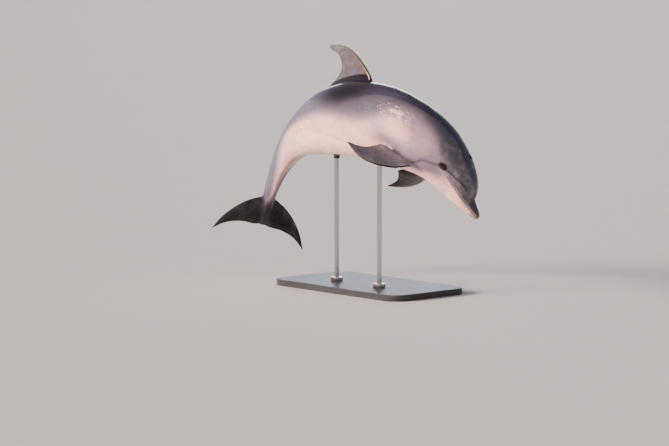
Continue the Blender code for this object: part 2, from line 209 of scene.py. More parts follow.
CAPE_EDGE = (  # under the dark cape
    (0.00, 62), (0.06, 52), (0.10, 45), (0.13, 50), (0.16, 58), (0.20, 60), (0.30, 51), (0.35, 42),
    (0.40, 26), (0.45, 18), (0.50, 28), (0.55, 31), (0.62, 49), (0.74, 50), (0.84, 25), (0.92, -15),
    (1.00, -60),
)
SIDE_EDGE = (  # under the grey of the head and sides
    (0.00, -12), (0.10, -12), (0.145, -6), (0.17, 8), (0.20, 31), (0.25, 41), (0.30, 30), (0.34, 3),
    (0.38, -10), (0.42, -9), (0.47, -4), (0.52, 0), (0.58, 0), (0.66, -1), (0.74, -8), (0.80, -30),
    (0.88, -60), (1.00, -80),
)
BELLY_EDGE = (  # over the pale belly
    (0.00, -12), (0.10, -20), (0.15, -34), (0.20, -62), (0.25, -48), (0.30, -20), (0.35, -8), (0.40, -6),
    (0.46, -4), (0.54, 0), (0.62, 0), (0.70, -10), (0.78, -40), (0.86, -66), (1.00, -88),
)
CREAM_EDGE = (  # over the palest patch
    (0.30, -80), (0.36, -62), (0.42, -49), (0.475, -41), (0.50, -33), (0.536, -31), (0.57, -22),
    (0.60, -22), (0.64, -24), (0.68, -48), (0.72, -80),
)
BRIDLE = ((0.068, 14), (0.076, 12.5), (0.089, 9), (0.109, 2), (0.143, -3))
FLIPPER_STRIPE = ((0.143, -3), (0.160, -14), (0.183, -23), (0.206, -32), (0.225, -40))
PAINTED_SHADE_SPOTS = (  # painted shade under the eye and round the flippers: strength, station and its spread, lift and its spread
    (0.75, 0.210, 0.032, -44, 22), (1.1, 0.292, 0.036, -23, 9), (1.4, 0.168, 0.026, -17, 22),
    (0.5, 0.140, 0.020, -30, 12),
)
MELON_CREASE = (  # lift and the station there
    (-30, 0.070), (-10, 0.063), (7, 0.0535), (39, 0.0450), (90, 0.0415),
)
SOFT_FORMS = (  # height in metres, station and its spread, lift and its spread
    (0.0022, 0.66, 0.14, 48, 18),  # the long back muscle
    (-0.0026, 0.76, 0.09, 2, 14),  # the hollow under it
    (-0.0030, 0.270, 0.020, -30, 16),  # behind the shoulder
    (-0.0026, 0.178, 0.018, -10, 45),  # neck
    (0.0022, 0.118, 0.020, -30, 14),  # cheek
    (-0.0016, 0.170, 0.0025, -70, 22),  # the throat's fold
    (-0.0022, 0.1665, 0.0028 / LENGTH, -10.5, 1.3),  # ear
)
BELLY_FOLDS = (  # station, depth in metres and the lift where each fold ends
    (0.640, 0.0009, -25), (0.668, 0.0018, -8), (0.694, 0.0024, 5), (0.718, 0.0022, 8), (0.744, 0.0018, 0),
    (0.770, 0.0011, -10),
)


def monotone(xs, ys, x):
    """The smooth curve through the points (xs, ys) that never overshoots them, read at x."""
    xs, ys, x = (np.asarray(values, float) for values in (xs, ys, x))
    width = np.diff(xs)
    slope = np.diff(ys) / width
    tangent = np.concatenate([slope[:1], np.zeros(len(xs) - 2), slope[-1:]])
    for i in range(1, len(xs) - 1):
        if slope[i - 1] * slope[i] > 0:
            before = 2 * width[i] + width[i - 1]
            after = width[i] + 2 * width[i - 1]
            tangent[i] = (before + after) / (before / slope[i - 1] + after / slope[i])
    k = np.clip(np.searchsorted(xs, x) - 1, 0, len(width) - 1)
    t = (x - xs[k]) / width[k]
    start = (1 + 2 * t) * (1 - t) ** 2 * ys[k] + t * (1 - t) ** 2 * width[k] * tangent[k]
    end = t * t * (3 - 2 * t) * ys[k + 1] - t * t * (1 - t) * width[k] * tangent[k + 1]
    return start + end


def curve_of(rows, column=1):
    """A function of a table's first column that runs smoothly through another and is level past both ends."""
    keys = [row[0] for row in rows]
    values = [row[column] for row in rows]
    return lambda key: monotone(keys, values, np.clip(key, keys[0], keys[-1]))


def ease(low, high, value):
    """0 below low, 1 above high and smooth between."""
    t = np.clip((value - low) / (high - low), 0.0, 1.0)
    return t * t * (3 - 2 * t)


def plateau(start, full, fall, end, value):
    """0 outside start and end, 1 from full to fall and smooth between."""
    return ease(start, full, value) * (1 - ease(fall, end, value))


def bump(value, centre, spread):
    """A smooth bump of height 1 round a centre."""
    return np.exp(-(((value - centre) / spread) ** 2))


def spots(rows, station, lift):
    """The sum of soft spots. Each row is a strength, a station and its spread, and a lift and its spread."""
    return sum(strength * bump(station, place, long) * bump(lift, up, high)
               for strength, place, long, up, high in rows)


def gap(angle, other):
    """How far an angle lies past another, from minus to plus half a turn."""
    return (angle - other + math.pi) % (2 * math.pi) - math.pi


BACK, BELLY, HALF_WIDTH, FULLNESS = (curve_of(LINES, column) for column in (1, 2, 3, 4))
MOUTH_HEIGHT = curve_of(MOUTH_LINE)


def directions(station):
    """Forward, right and up of the body at each station, as unit vectors."""
    down, heading, roll = (np.radians(curve_of(POSE, column)(station)) for column in (1, 2, 3))
    level = np.zeros_like(down)
    ahead = np.stack([np.cos(down) * np.cos(heading), np.cos(down) * np.sin(heading), -np.sin(down)], -1)
    upright = np.stack([np.sin(down) * np.cos(heading), np.sin(down) * np.sin(heading), np.cos(down)], -1)
    beside = np.stack([np.sin(heading), -np.cos(heading), level], -1)
    cos_roll, sin_roll = np.cos(roll)[..., None], np.sin(roll)[..., None]
    return ahead, cos_roll * beside - sin_roll * upright, cos_roll * upright + sin_roll * beside


SPINE_STEPS = 240
SPINE_STATIONS = np.linspace(0.0, 1.0, SPINE_STEPS + 1)
SPINE_AHEAD = directions((SPINE_STATIONS[1:] + SPINE_STATIONS[:-1]) / 2)[0]
SPINE_WALK = np.cumsum(SPINE_AHEAD, axis=0) * LENGTH / SPINE_STEPS
SPINE_POINTS = np.array(BEAK_TIP) - np.concatenate([np.zeros((1, 3)), SPINE_WALK])


def spine(station):
    """The spine's point and its forward, right and up at each station. It runs on straight past both ends."""
    station = np.asarray(station, float)
    inside = np.clip(station, 0.0, 1.0)
    ahead, right, up = directions(inside)
    point = np.stack([np.interp(inside, SPINE_STATIONS, SPINE_POINTS[:, axis]) for axis in range(3)], -1)
    return point - ahead * ((station - inside) * LENGTH)[..., None], ahead, right, up


def section(station):
    """Half width, half height, middle height and fullness of the body, both of whose ends are rounded off."""
    blunt = np.sqrt(np.clip(station / 0.0030, 0.0, 1.0)) * np.sqrt(np.clip((1 - station) / 0.0050, 0.0, 1.0))
    back, belly, wide = (line(station) * LENGTH for line in (BACK, BELLY, HALF_WIDTH))
    return wide * blunt, (back - belly) / 2 * blunt, (back + belly) / 2, FULLNESS(station)


def on_body(station, angle, outset=0.0, share=1.0):
    """Points of the skin: angle 0 is the animal's right side and 90 degrees its back."""
    station, angle = np.asarray(station, float), np.asarray(angle, float)
    point, _, right, up = spine(station)
    wide, tall, middle, fullness = section(np.clip(station, 0.0, 1.0))
    across = np.sign(np.cos(angle)) * np.abs(np.cos(angle)) ** fullness * (wide + outset) * share
    high = middle + np.sin(angle) * (tall + outset) * share
    return point + right * across[..., None] + up * high[..., None]


def body_coordinates(points):
    """Station, angle and height over the skin of points near the body."""
    points = np.atleast_2d(points)
    nearest = ((points[:, None] - SPINE_POINTS[None]) ** 2).sum(-1).argmin(1)
    station = SPINE_STATIONS[nearest]
    for _ in range(3):
        point, ahead, right, up = spine(station)
        station = station - ((points - point) * ahead).sum(-1) / LENGTH
    wide, tall, middle, fullness = section(np.clip(station, 0.002, 0.996))
    across = ((points - point) * right).sum(-1) / wide
    high = (((points - point) * up).sum(-1) - middle) / tall
    angle = np.arctan2(high, np.sign(across) * np.abs(across) ** (1 / fullness))
    reach = np.hypot(across * wide, high * tall)
    surface = np.hypot(np.abs(np.cos(angle)) ** fullness * wide, np.sin(angle) * tall)
    return station, angle, reach - surface


def lift_of(angle):
    """Degrees up from the belly at -90 to the back at 90, alike on both sides."""
    return np.degrees(np.arcsin(np.clip(np.sin(angle), -1.0, 1.0)))


# ------------------------------------------------------------
# Relief: what stands out from the lines or sinks into them, in metres.

def over_mouth(station, lift):
    """How high the skin lies over the mouth line."""
    _, tall, middle, _ = section(station)
    return middle + np.sin(np.radians(lift)) * tall - MOUTH_HEIGHT(station) * LENGTH


def mouth_relief(station, lift):
    """The closed mouth: a groove round the beak from corner to corner, under a proud upper lip."""
    sizes = bpy.context.scene.dolphin_sizes
    above = over_mouth(station, lift)
    along = 1 - ease(MOUTH_CORNER - 0.006, MOUTH_CORNER + 0.004, station)
    groove = -sizes.mouth_depth * bump(above, 0.0, sizes.mouth_width)
    upper_lip = 0.0012 * plateau(0.0, 0.003, 0.004, 0.016, above)
    lower_lip = 0.0006 * plateau(0.0, 0.003, 0.004, 0.012, -above)
    corner = -0.0022 * bump(above, 0.001, 0.006) * bump(station, MOUTH_CORNER + 0.001, 0.0035)
    return ease(0.0, 0.003, station) * along * (groove + upper_lip + lower_lip) + corner


def melon_relief(station, lift):
    """The crease where the beak meets the melon, deepest at its sides, and the melon's fullness behind it."""
    sizes = bpy.context.scene.dolphin_sizes
    behind = (station - curve_of(MELON_CREASE)(lift)) * LENGTH
    fade = ease(-24, -6, lift)
    crease = -sizes.crease_depth * bump(behind, 0.0, 0.0055) * (0.7 + 0.3 * bump(lift, 20, 25))
    brow = 0.0022 * bump(behind, 0.020, 0.016)
    return fade * (crease + brow)


def belly_folds(station, lift):
    """Shallow folds across the belly side where the tail stock bends, each fading out up the flank."""
    total = np.zeros_like(station)
    for place, depth, top in BELLY_FOLDS:
        bow = place + 0.010 * np.cos(np.radians(lift * 0.9 + 30)) - 0.006
        total -= depth * bump((station - bow) * LENGTH, 0.0, 0.0085) * (1 - ease(top - 28, top + 8, lift))
    return total


def belly_slits(station, lift):
    """The navel and the long slit on the midline under the loin."""
    _, tall, _, _ = section(station)
    aside = np.radians(lift + 90) * tall
    slit = -0.0040 * bump(aside, 0.0, 0.0035) * plateau(0.600, 0.610, 0.652, 0.664, station)
    lips = 0.0018 * bump(aside, 0.010, 0.007) * plateau(0.596, 0.612, 0.650, 0.668, station)
    navel = -0.0020 * bump(aside, 0.0, 0.009) * bump(station, 0.455, 0.0045)
    return slit + lips + navel


def muscle_relief(station, lift):
    """Soft forms under the skin: back muscles, shoulder, neck, cheek, the throat's fold and the ear."""
    return spots(SOFT_FORMS, station, lift)


def relief(station, angle):
    """All the relief of the body's own surface."""
    forms = (mouth_relief, melon_relief, belly_folds, belly_slits, muscle_relief)
    return sum(form(station, lift_of(angle)) for form in forms)


# ------------------------------------------------------------
# The skin's mesh.

MOUTH_COLUMN = -15.0  # the lift, in degrees, of the column that is drawn to the mouth line


def skin_rows():
    """Stations of the skin's rows: crowded at the beak's tip, close over the head, wider along the trunk."""
    sizes = bpy.context.scene.dolphin_sizes
    tip_end, head_end = 0.012, 0.160
    tip = tip_end * np.linspace(0.0, 1.0, 13)[:-1] ** 2
    head = np.linspace(tip_end, head_end, round((head_end - tip_end) * LENGTH / sizes.head_step) + 1)[:-1]
    trunk = np.linspace(head_end, 1.0, round((1 - head_end) * LENGTH / sizes.trunk_step) + 1)
    tail = 1 - (1 - trunk[-2]) * np.array([0.5, 0.2, 0.05])
    return np.concatenate([tip, head, trunk[:-1], tail, trunk[-1:]])


def column_angles(station, sides):
    """The angle of each column at each station. Columns crowd to the mouth line and run along it."""
    base = -90 + 360 * np.arange(sides) / sides
    lift = (90 - np.abs(base - 90))[None]
    station = np.asarray(station)[:, None]
    _, tall, middle, _ = section(np.clip(station, 0.003, MOUTH_CORNER))
    mouth = np.degrees(np.arcsin((MOUTH_HEIGHT(station) * LENGTH - middle) / tall))
    away = lift - MOUTH_COLUMN
    crowded = away * (1 - 0.66 * np.exp(-((away / 15) ** 2)))
    span = np.where(crowded < 0, 90 + MOUTH_COLUMN, 90 - MOUTH_COLUMN)
    drawn = mouth + crowded + (MOUTH_COLUMN - mouth) * np.abs(crowded) / span
    fade = 1 - ease(MOUTH_CORNER, 0.20, station)
    lift = lift + (drawn - lift) * fade
    return np.radians(np.where(base[None] < 90, lift, 180 - lift))


class Skin:
    """The skin while it is being made: its bmesh, its grid of verts and what each vert is told."""

    TOLD = ("station", "angle", "fin", "paddle", "fluke", "under", "foot", "edge", "warm", "lid", "deep")

    def __init__(self, sides):
        self.bm = bmesh.new()
        self.sides = sides
        self.rows = skin_rows()
        self.told = {name: self.bm.verts.layers.float.new(name) for name in self.TOLD}
        self.uv = self.bm.loops.layers.uv.new("OFBake")
        self.make_tube()

    def make_tube(self):
        """A grid, rolled up and welded along its seam, with a pole at each end."""
        bm, last = self.bm, len(self.rows) - 1
        bmesh.ops.create_grid(bm, x_segments=last, y_segments=self.sides, size=1.0)
        angles = column_angles(self.rows, self.sides)
        self.grid, weld = {}, {}
        for vert in list(bm.verts):
            row = round((vert.co.x + 1) / 2 * last)
            column = round((vert.co.y + 1) / 2 * self.sides)
            self.tell(vert, station=self.rows[row], angle=angles[row, column % self.sides])
            home = (row, 0) if row in (0, last) else (row, column % self.sides)
            if column == home[1]:
                self.grid[home] = vert
            else:
                weld[vert] = home
        for face in bm.faces:
            for loop in face.loops:
                loop[self.uv].uv = self.body_uv(loop.vert.co)
        bmesh.ops.weld_verts(bm, targetmap={vert: self.grid[home] for vert, home in weld.items()})

    @staticmethod
    def body_uv(place):
        """The tube takes the lower part of the map, its length along it."""
        return 0.01 + 0.98 * (place.x + 1) / 2, 0.01 + 0.60 * (place.y + 1) / 2

    def tell(self, vert, **facts):
        for name, value in facts.items():
            vert[self.told[name]] = value

    def read(self, verts, name):
        return np.array([vert[self.told[name]] for vert in verts])

    def tell_rings(self, rings, facts):
        """Tells each ring of verts its own facts: one value for all of the ring, or one for each vert."""
        for ring, told in zip(rings, facts):
            for name, values in told.items():
                for vert, value in zip(ring, np.broadcast_to(values, len(ring))):
                    vert[self.told[name]] = value

    def place(self, verts):
        """Puts verts on the body by the station and angle that they are told."""
        verts = list(verts)
        station, angle = self.read(verts, "station"), self.read(verts, "angle")
        for vert, point in zip(verts, on_body(station, angle, relief(station, angle))):
            vert.co = point

    def cut(self, first_row, last_row, first_column, last_column):
        """Cuts a rectangle out of the tube and returns its rim, in order, starting at the front's middle."""
        corners = [self.grid[row, column % self.sides] for row in (first_row, last_row)
                   for column in (first_column, last_column)]
        assert all(vert.is_valid for vert in corners)
        inner = []
        for row in range(first_row, last_row):
            for column in range(first_column, last_column):
                square = [self.grid[r, c % self.sides] for r, c in
                          ((row, column), (row + 1, column), (row + 1, column + 1), (row, column + 1))]
                inner.append(self.bm.faces.get(square))
        bmesh.ops.delete(self.bm, geom=inner, context="FACES")
        path = [(first_row, column) for column in range(first_column, last_column)]
        path += [(row, last_column) for row in range(first_row, last_row)]
        path += [(last_row, column) for column in range(last_column, first_column, -1)]
        path += [(row, first_column) for row in range(last_row, first_row, -1)]
        start = (last_column - first_column) // 2
        path = path[start:] + path[:start]
        return [self.grid[row, column % self.sides] for row, column in path]

    def grow(self, rim, rings, shelf):
        """Extrudes a rim once for each array of points in rings, closes the last, and gives the patch its own
        shelf on the map. Returns the new rings of verts."""
        grown = [rim]
        for points in rings:
            last = grown[-1]
            edges = [self.bm.edges.get(pair) for pair in zip(last, last[1:] + last[:1])]
            made = bmesh.ops.extrude_edge_only(self.bm, edges=edges)["geom"]
            new = {item for item in made if isinstance(item, bmesh.types.BMVert)}
            ring = [next(edge.other_vert(vert) for edge in vert.link_edges if edge.other_vert(vert) in new)
                    for vert in last]
            for vert, origin, point in zip(ring, rim, points):
                vert.co = point
                self.tell(vert, station=origin[self.told["station"]], angle=origin[self.told["angle"]])
            grown.append(ring)
        edges = [self.bm.edges.get(pair) for pair in zip(grown[-1], grown[-1][1:] + grown[-1][:1])]
        cap = bmesh.ops.holes_fill(self.bm, edges=edges, sides=0)["faces"]
        bmesh.ops.triangulate(self.bm, faces=cap)
        self.lay_out(grown, shelf)
        return grown[1:]

    def lay_out(self, grown, shelf):
        """Unrolls a patch on its shelf of the map, a column of it for each vert of the rim, with the cap as a
        small disc beside it."""
        left, bottom, width, height = shelf
        cap_radius, cap_gap = 0.004, 0.006
        spot = {vert: (turn, ring) for ring, verts in enumerate(grown) for turn, vert in enumerate(verts)}
        count = len(grown[0])
        for face in {face for verts in grown[1:] for vert in verts for face in vert.link_faces}:
            if all(spot[vert][1] == len(grown) - 1 for vert in face.verts):
                for loop in face.loops:
                    turn = 2 * math.pi * spot[loop.vert][0] / count
                    loop[self.uv].uv = (left + width + cap_gap + cap_radius * math.cos(turn),
                                        bottom + cap_gap + cap_radius * math.sin(turn))
                continue
            turns = [spot[loop.vert][0] for loop in face.loops]
            wraps = max(turns) - min(turns) > count / 2 and len({spot[v][1] for v in face.verts}) > 1
            for loop in face.loops:
                turn, ring = spot[loop.vert]
                turn = count if wraps and turn == 0 else turn
                loop[self.uv].uv = (left + width * turn / count, bottom + height * ring / (len(grown) - 1))


def unit(vectors):
    return vectors / np.maximum(np.linalg.norm(vectors, axis=-1, keepdims=True), 1e-9)


def coords(verts):
    return np.array([vert.co for vert in verts])


# ------------------------------------------------------------
# Fins.

THICK_TURN = 1.6  # roughly the turn, in radians, where a fin is thickest


def foil(table, place, span, turn):
    """Points of a fin: span out from its root, and turn round its section from the leading edge."""
    marks = [row[0] for row in table]
    lead, trail, thickness = (monotone(marks, [row[column] for row in table], span) for column in (1, 2, 3))
    chord = np.cos(turn)
    half = 0.5 * np.sin(turn) * (1.0 + 0.42 * chord - 0.05) * thickness
    return place(span, (lead + trail) / 2 + chord * (lead - trail) / 2, half * LENGTH)


def dorsal_place(height, station, thick):
    base, _, right, up = spine(station)
    return base + up * (height * LENGTH)[..., None] + right * thick[..., None]


def flipper_place(side, back, dip, twist):
    """How a flipper's points lie: swept back and dipped, its leading edge turned about its length."""
    back, dip, twist = (math.radians(angle) for angle in (back, dip, twist))
    _, ahead, right, up = spine(FLIPPER_STATION)
    round_angle = -math.radians(FLIPPER_ROUND) if side > 0 else math.pi + math.radians(FLIPPER_ROUND)
    root = on_body(FLIPPER_STATION, round_angle, share=FLIPPER_INSET)
    along = (right * side * math.cos(back) - ahead * math.sin(back)) * math.cos(dip) - up * math.sin(dip)
    flat = unit(ahead - along * (ahead @ along))
    edge = flat * math.cos(twist * side) + np.cross(along, flat) * math.sin(twist * side)
    face = np.cross(along, edge)

    def place(span, across, thick):
        return root + (along * span[..., None] + edge * across[..., None]) * LENGTH + face * thick[..., None]

    return place


def fluke_place(side):
    root, ahead, right, up = spine(FLUKE_STATION)

    def place(span, behind, thick):
        out = right * side * span[..., None] - ahead * behind[..., None]
        return root + out * LENGTH + up * thick[..., None]

    return place


def even_turns(count, table, place, span):
    """Turns that put points at equal steps round a fin's section."""
    fine = np.linspace(0.0, 2 * np.pi, 721)
    points = foil(table, place, np.full(fine.shape, span), fine)
    walk = np.concatenate([[0.0], np.cumsum(np.linalg.norm(np.diff(points, axis=0), axis=1))])
    return np.interp(np.arange(count) / count * walk[-1], walk, fine)


def foot_spans(table, place, turn, clearance):
    """How far out each turn's line leaves the body by a clearance."""
    low = np.full(turn.shape, table[0][0])
    high = np.full(turn.shape, table[-1][0] * 0.6)
    for _ in range(24):
        middle = (low + high) / 2
        outside = body_coordinates(foil(table, place, middle, turn))[2] > clearance
        low, high = np.where(outside, low, middle), np.where(outside, middle, high)
    return high


def cut_foot(skin, foot, margins):
    """Cuts a rim round a fin's foot, by margins before, behind and beside it."""
    station, angle, _ = body_coordinates(foot)
    middle = math.atan2(np.sin(angle).mean(), np.cos(angle).mean())
    aside = gap(angle, middle)
    wide, tall, _, _ = section(min(station.mean(), 0.97))
    before, behind, beside = margins
    beside /= (wide + tall) / 2
    to_column = skin.sides / (2 * math.pi)
    first_row = int(np.searchsorted(skin.rows, station.min() - before / LENGTH)) - 1
    last_row = min(int(np.searchsorted(skin.rows, station.max() + behind / LENGTH)), len(skin.rows) - 3)
    first_column = math.floor((middle + aside.min() - beside + math.pi / 2) * to_column)
    last_column = math.ceil((middle + aside.max() + beside + math.pi / 2) * to_column)
    return skin.cut(first_row, last_row, first_column, last_column)


def nearest_order(rim_points, points):
    """The order, from any start and either way round, in which a ring's points lie nearest to a rim's."""
    count = len(rim_points)
    orders = [(way * np.arange(count) + shift) % count for way in (1, -1) for shift in range(count)]
    return min(orders, key=lambda order: ((rim_points - points[order]) ** 2).sum())


def tip_cap(tip, inner):
    """The rings that round a fin off past its last ring. Inner is a ring just within it."""
    centre = tip.mean(0)
    chordwise = tip[np.linalg.norm(tip - centre, axis=1).argmax()] - centre
    ahead = centre - inner.mean(0)
    ahead = unit(ahead - chordwise * (ahead @ chordwise) / (chordwise @ chordwise))
    reach = min(0.9 * float(np.linalg.norm(chordwise)), 0.0045)
    return [centre + (tip - centre) * math.cos(swing) + ahead * reach * math.sin(swing)
            for swing in np.radians((12, 24, 36, 48, 60, 71, 81))]


def fin_facts(kind, outer, out, turn):
    """What a fin's ring is told of its colours, edges and faces. Out runs from -1 at the rim over 0 at the
    foot to 1 at the tip."""
    amount = float(ease(*FIN_STARTS[kind], out))
    behind = (1 - np.cos(turn)) / 2
    edge = np.maximum(1 - ease(0.010, 0.050, behind), ease(0.925, 0.975, behind))
    edge = np.maximum(edge * ease(-0.2, 0.15, out), 0.45 * float(ease(0.95, 1.0, out)))
    # warm is painted warm light on the rounded leading edge and just behind it.
    warm = plateau(0.008, 0.030, 0.05, 0.22, behind) * (1 - 0.6 * ease(0.75, 0.98, out))
    # foot is a band of painted shade where the dorsal fin meets the back.
    foot = float(ease(-1.0, -0.5, out)) * (1 - amount) if kind == "fin" else 0.0
    # under marks a flipper's under face, which is painted darker as shade.
    under = ease(-0.5, 0.5, -outer * np.sin(turn)) if outer else 0.0
    return {kind: amount, "edge": amount * edge, "warm": amount * warm, "under": under, "foot": foot}


def grow_fin(skin, table, place, kind, shelf, outer=0):
    """Cuts a rim round a fin's foot, and grows a fairing and then the fin out of it. Outer is the side that
    a flipper's outer face is on, or 0 if both faces are alike. Returns the rim and the rings."""
    sizes = bpy.context.scene.dolphin_sizes
    clearance, margins = FIN_FEET[kind]

    def spans(turn):
        return foot_spans(table, place, turn, clearance)

    probe = np.linspace(0.0, 2 * np.pi, 73)[:-1]
    rim = cut_foot(skin, foil(table, place, spans(probe), probe), margins)
    rim_points, count = coords(rim), len(rim)
    even = even_turns(count, table, place, float(spans(np.array([THICK_TURN]))[0]))
    near_root = np.full(count, (table[0][0] + table[1][0]) / 2)
    order = nearest_order(rim_points, foil(table, place, near_root, even))
    even, steady = even[order], (np.arange(count) / count * 2 * np.pi)[order]

    def turns(out):
        """Turns at even steps of length round the foot, which drift to even steps of angle further out."""
        return even + np.clip(0.30 + 2.2 * out, 0.0, 1.0) * gap(steady, even)

    start, tip = spans(turns(0.0)), table[-1][0]

    def fin_ring(out):
        return foil(table, place, start + (tip - start) * out, turns(out))

    first = fin_ring(0.0)
    leaving = unit(fin_ring(0.02) - first)
    outward = np.array([body_normal(vert, skin) for vert in rim])
    reach = first - rim_points
    flat = reach - outward * (reach * outward).sum(-1, keepdims=True)
    along_body, along_fin = 0.62, 0.42  # how far the fairing follows the body and then the fin
    near = rim_points + along_body * flat
    far = first - along_fin * leaving * np.linalg.norm(reach, axis=1, keepdims=True)
    fairing = np.linspace(0.0, 1.0, sizes.fairing_rings + 1)[1:-1]
    along = 1 - (1 - np.linspace(0.0, 1.0, sizes.fin_rings)) ** 1.5
    rings = [(1 - t) ** 3 * rim_points + 3 * t * (1 - t) ** 2 * near + 3 * t * t * (1 - t) * far
             + t ** 3 * first for t in fairing]
    rings += [fin_ring(out) for out in along]
    cap = tip_cap(rings[-1], rings[-3])
    grown = skin.grow(rim, rings + cap, shelf)
    relax(skin, [vert for ring in grown[-12:] for vert in ring], reach=0, passes=5)
    outs = [*(fairing - 1), *along, *np.ones(len(cap))]
    skin.tell_rings(grown, [fin_facts(kind, outer, out, turns(max(out, 0.0))) for out in outs])
    return rim, grown


def body_normal(vert, skin):
    """The body's outward direction at a vert of its grid."""
    station, angle = (vert[skin.told[name]] for name in ("station", "angle"))
    inner, outer = on_body([station, station], [angle, angle], np.array([0.0, 0.001]))
    along = on_body([station - 0.001, station + 0.001], [angle, angle])
    around = on_body([station, station], [angle - 0.01, angle + 0.01])
    normal = unit(np.cross(along[1] - along[0], around[1] - around[0]))
    return normal if normal @ (outer - inner) > 0 else -normal


def relax(skin, seeds, reach, passes):
    """Smooths the skin round some verts, so that a fairing runs into the body without a line."""
    zone = set(seeds)
    for _ in range(reach):
        zone |= {edge.other_vert(vert) for vert in zone for edge in vert.link_edges}
    for _ in range(passes):
        bmesh.ops.smooth_vert(skin.bm, verts=list(zone), factor=0.5, use_axis_x=True, use_axis_y=True,
                              use_axis_z=True)


# ------------------------------------------------------------
# Eyelids and blowhole.

def opening(skin, station, lift, side, half_long, half_round):
    """Cuts a rectangle of the head's grid. Returns its rim, each rim vert's place on the surface, in metres
    forward and up from the middle, and the middle's angle and radius."""
    angle = math.radians(lift if side > 0 else 180 - lift)
    row = int(np.abs(skin.rows - station).argmin())
    reach = 1
    while (skin.rows[row + reach] - skin.rows[row]) * LENGTH < half_long:
        reach += 1
    wide, tall, _, _ = section(station)
    radius = float(wide * abs(math.sin(angle)) + tall * abs(math.cos(angle)))
    aside = gap(column_angles([station], skin.sides)[0], angle) * radius
    near = np.flatnonzero(np.abs(aside) < half_round).tolist()
    rim = skin.cut(row - reach, row + reach, near[0], near[-1])
    ahead = (station - skin.read(rim, "station")) * LENGTH
    return rim, np.stack([ahead, gap(skin.read(rim, "angle"), angle) * radius * side], -1), angle, radius


def swing_round(places):
    """The angle of each place round the middle, as if their rectangle were a square."""
    ahead, up = (places / np.abs(places).max(0)).T
    return np.arctan2(up, ahead)


def grow_lids(skin, name, side, shelf):
    """Eyelids: the skin rises round the ball, folds twice and turns in to a rounded, almond-shaped margin."""
    sizes = bpy.context.scene.dolphin_sizes
    low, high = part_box(name)
    ball = np.array((low + high) / 2)
    _, tall, middle, _ = section(EYE_STATION)
    lift = math.degrees(math.asin((EYE_HEIGHT * LENGTH - middle) / tall))
    rim, places, angle, radius = opening(skin, EYE_STATION, lift, side, *LID_OPENING)
    swing = swing_round(places)
    half_high = sizes.eye_opening_high * np.where(np.sin(swing) > 0, 0.56, 0.44)
    up = half_high * np.sign(np.sin(swing)) * np.abs(np.sin(swing)) ** 1.2 - 0.0012 * np.cos(swing)
    margin = np.stack([sizes.eye_opening_long / 2 * np.cos(swing), up], -1)

    def surface(spot):
        station, turn = EYE_STATION - spot[:, 0] / LENGTH, angle + spot[:, 1] / radius * side
        return station, turn, on_body(station, turn)

    def to_ball(base, out):
        """How far the ball's front lies out from a base. Past the ball, its middle counts."""
        toward = ((base - ball) * out).sum(-1)
        inside = sizes.eye_radius ** 2 - ((base - ball) ** 2).sum(-1) + toward ** 2
        return np.sqrt(np.maximum(inside, 0.0)) - toward

    rings, facts = [], []
    for share, drop in LID_RINGS:
        spot = places * (1 - share) + margin * share
        station, turn, base = surface(spot)
        out = unit(on_body(station, turn, 0.001) - base)
        away = np.linalg.norm(spot - margin, axis=1) * (share < 1)
        rise = to_ball(surface(margin)[2], out) + LID_CLEARANCE
        if share < 1:
            fold = -0.0012 * bump(away, 0.0060, 0.0013) - 0.0007 * bump(away, 0.0125, 0.0024)
            fold *= 0.35 + 0.65 * (np.sin(swing) > -0.2)
            swell = rise * np.exp(-((away / 0.0110) ** 1.35))
            height = relief(station, turn) * ease(0.0, 0.02, away) + swell + fold
        else:
            height = np.minimum(to_ball(base, out), rise)
        rings.append(base + out * (height + drop)[:, None])
        dark = bump(away, 0.0, 0.0035)
        # deep paints the rings that turn in behind the lids with painted shade.
        facts.append({"station": station, "angle": turn, "lid": dark, "deep": float(share > 1)})
    skin.tell_rings(skin.grow(rim, rings, shelf), facts)


def grow_blowhole(skin, shelf):
    """An open crescent with soft raised lips, its horns forward, and a passage that goes down behind it."""
    sizes = bpy.context.scene.dolphin_sizes
    rim, places, angle, radius = opening(skin, BLOWHOLE_STATION, BLOWHOLE_LIFT, 1, *BLOWHOLE_OPENING)
    swing = swing_round(places)
    half_wide = sizes.blowhole_width / 2

    def middle_line(across):
        """The crescent's middle line."""
        return np.stack([0.0085 * ((across / half_wide) ** 2 - 0.55), across], -1)

    margin = middle_line(half_wide * np.sin(swing))
    margin[:, 0] += sizes.blowhole_gape / 2 * np.cos(swing)
    rings, facts = [], []
    for share, drop in BLOWHOLE_RINGS:
        spot = places * (1 - min(share, 1.0)) + margin * min(share, 1.0)
        if share > 1:
            middle = middle_line(spot[:, 1])
            spot = middle + (spot - middle) * (1 - (share - 1) * 5)
        station, turn = BLOWHOLE_STATION - spot[:, 0] / LENGTH, angle + spot[:, 1] / radius
        away = np.linalg.norm(spot - margin, axis=1)
        lips = 0.0020 * bump(away, 0.0045, 0.0042) - 0.0012 * bump(away, 0.0135, 0.0040)
        rings.append(on_body(station, turn, relief(station, turn) * ease(0.0, 0.02, away) + lips + drop))
        # Painted shade: the blowhole's margin and its passage, darker the deeper they go.
        dark = np.maximum(0.85 * bump(away, 0.0, 0.0030), ease(0.0, 0.010, -drop))
        facts.append({"station": station, "angle": turn, "deep": dark})
    skin.tell_rings(skin.grow(rim, rings, shelf), facts)


# ------------------------------------------------------------
# Markings, as masks from 0 to 1.

def stripe(rows, station, lift, half_width, first_fade, last_fade):
    """A soft band along a line of stations and lifts, in metres wide."""
    wide, tall, _, _ = section(station)
    aside = np.radians(lift - curve_of(rows)(station)) * (wide + tall) / 2
    start, end = rows[0][0], rows[-1][0]
    inside = plateau(start - first_fade, start + first_fade, end - last_fade, end, station)
    return bump(aside, 0.0, half_width) * inside


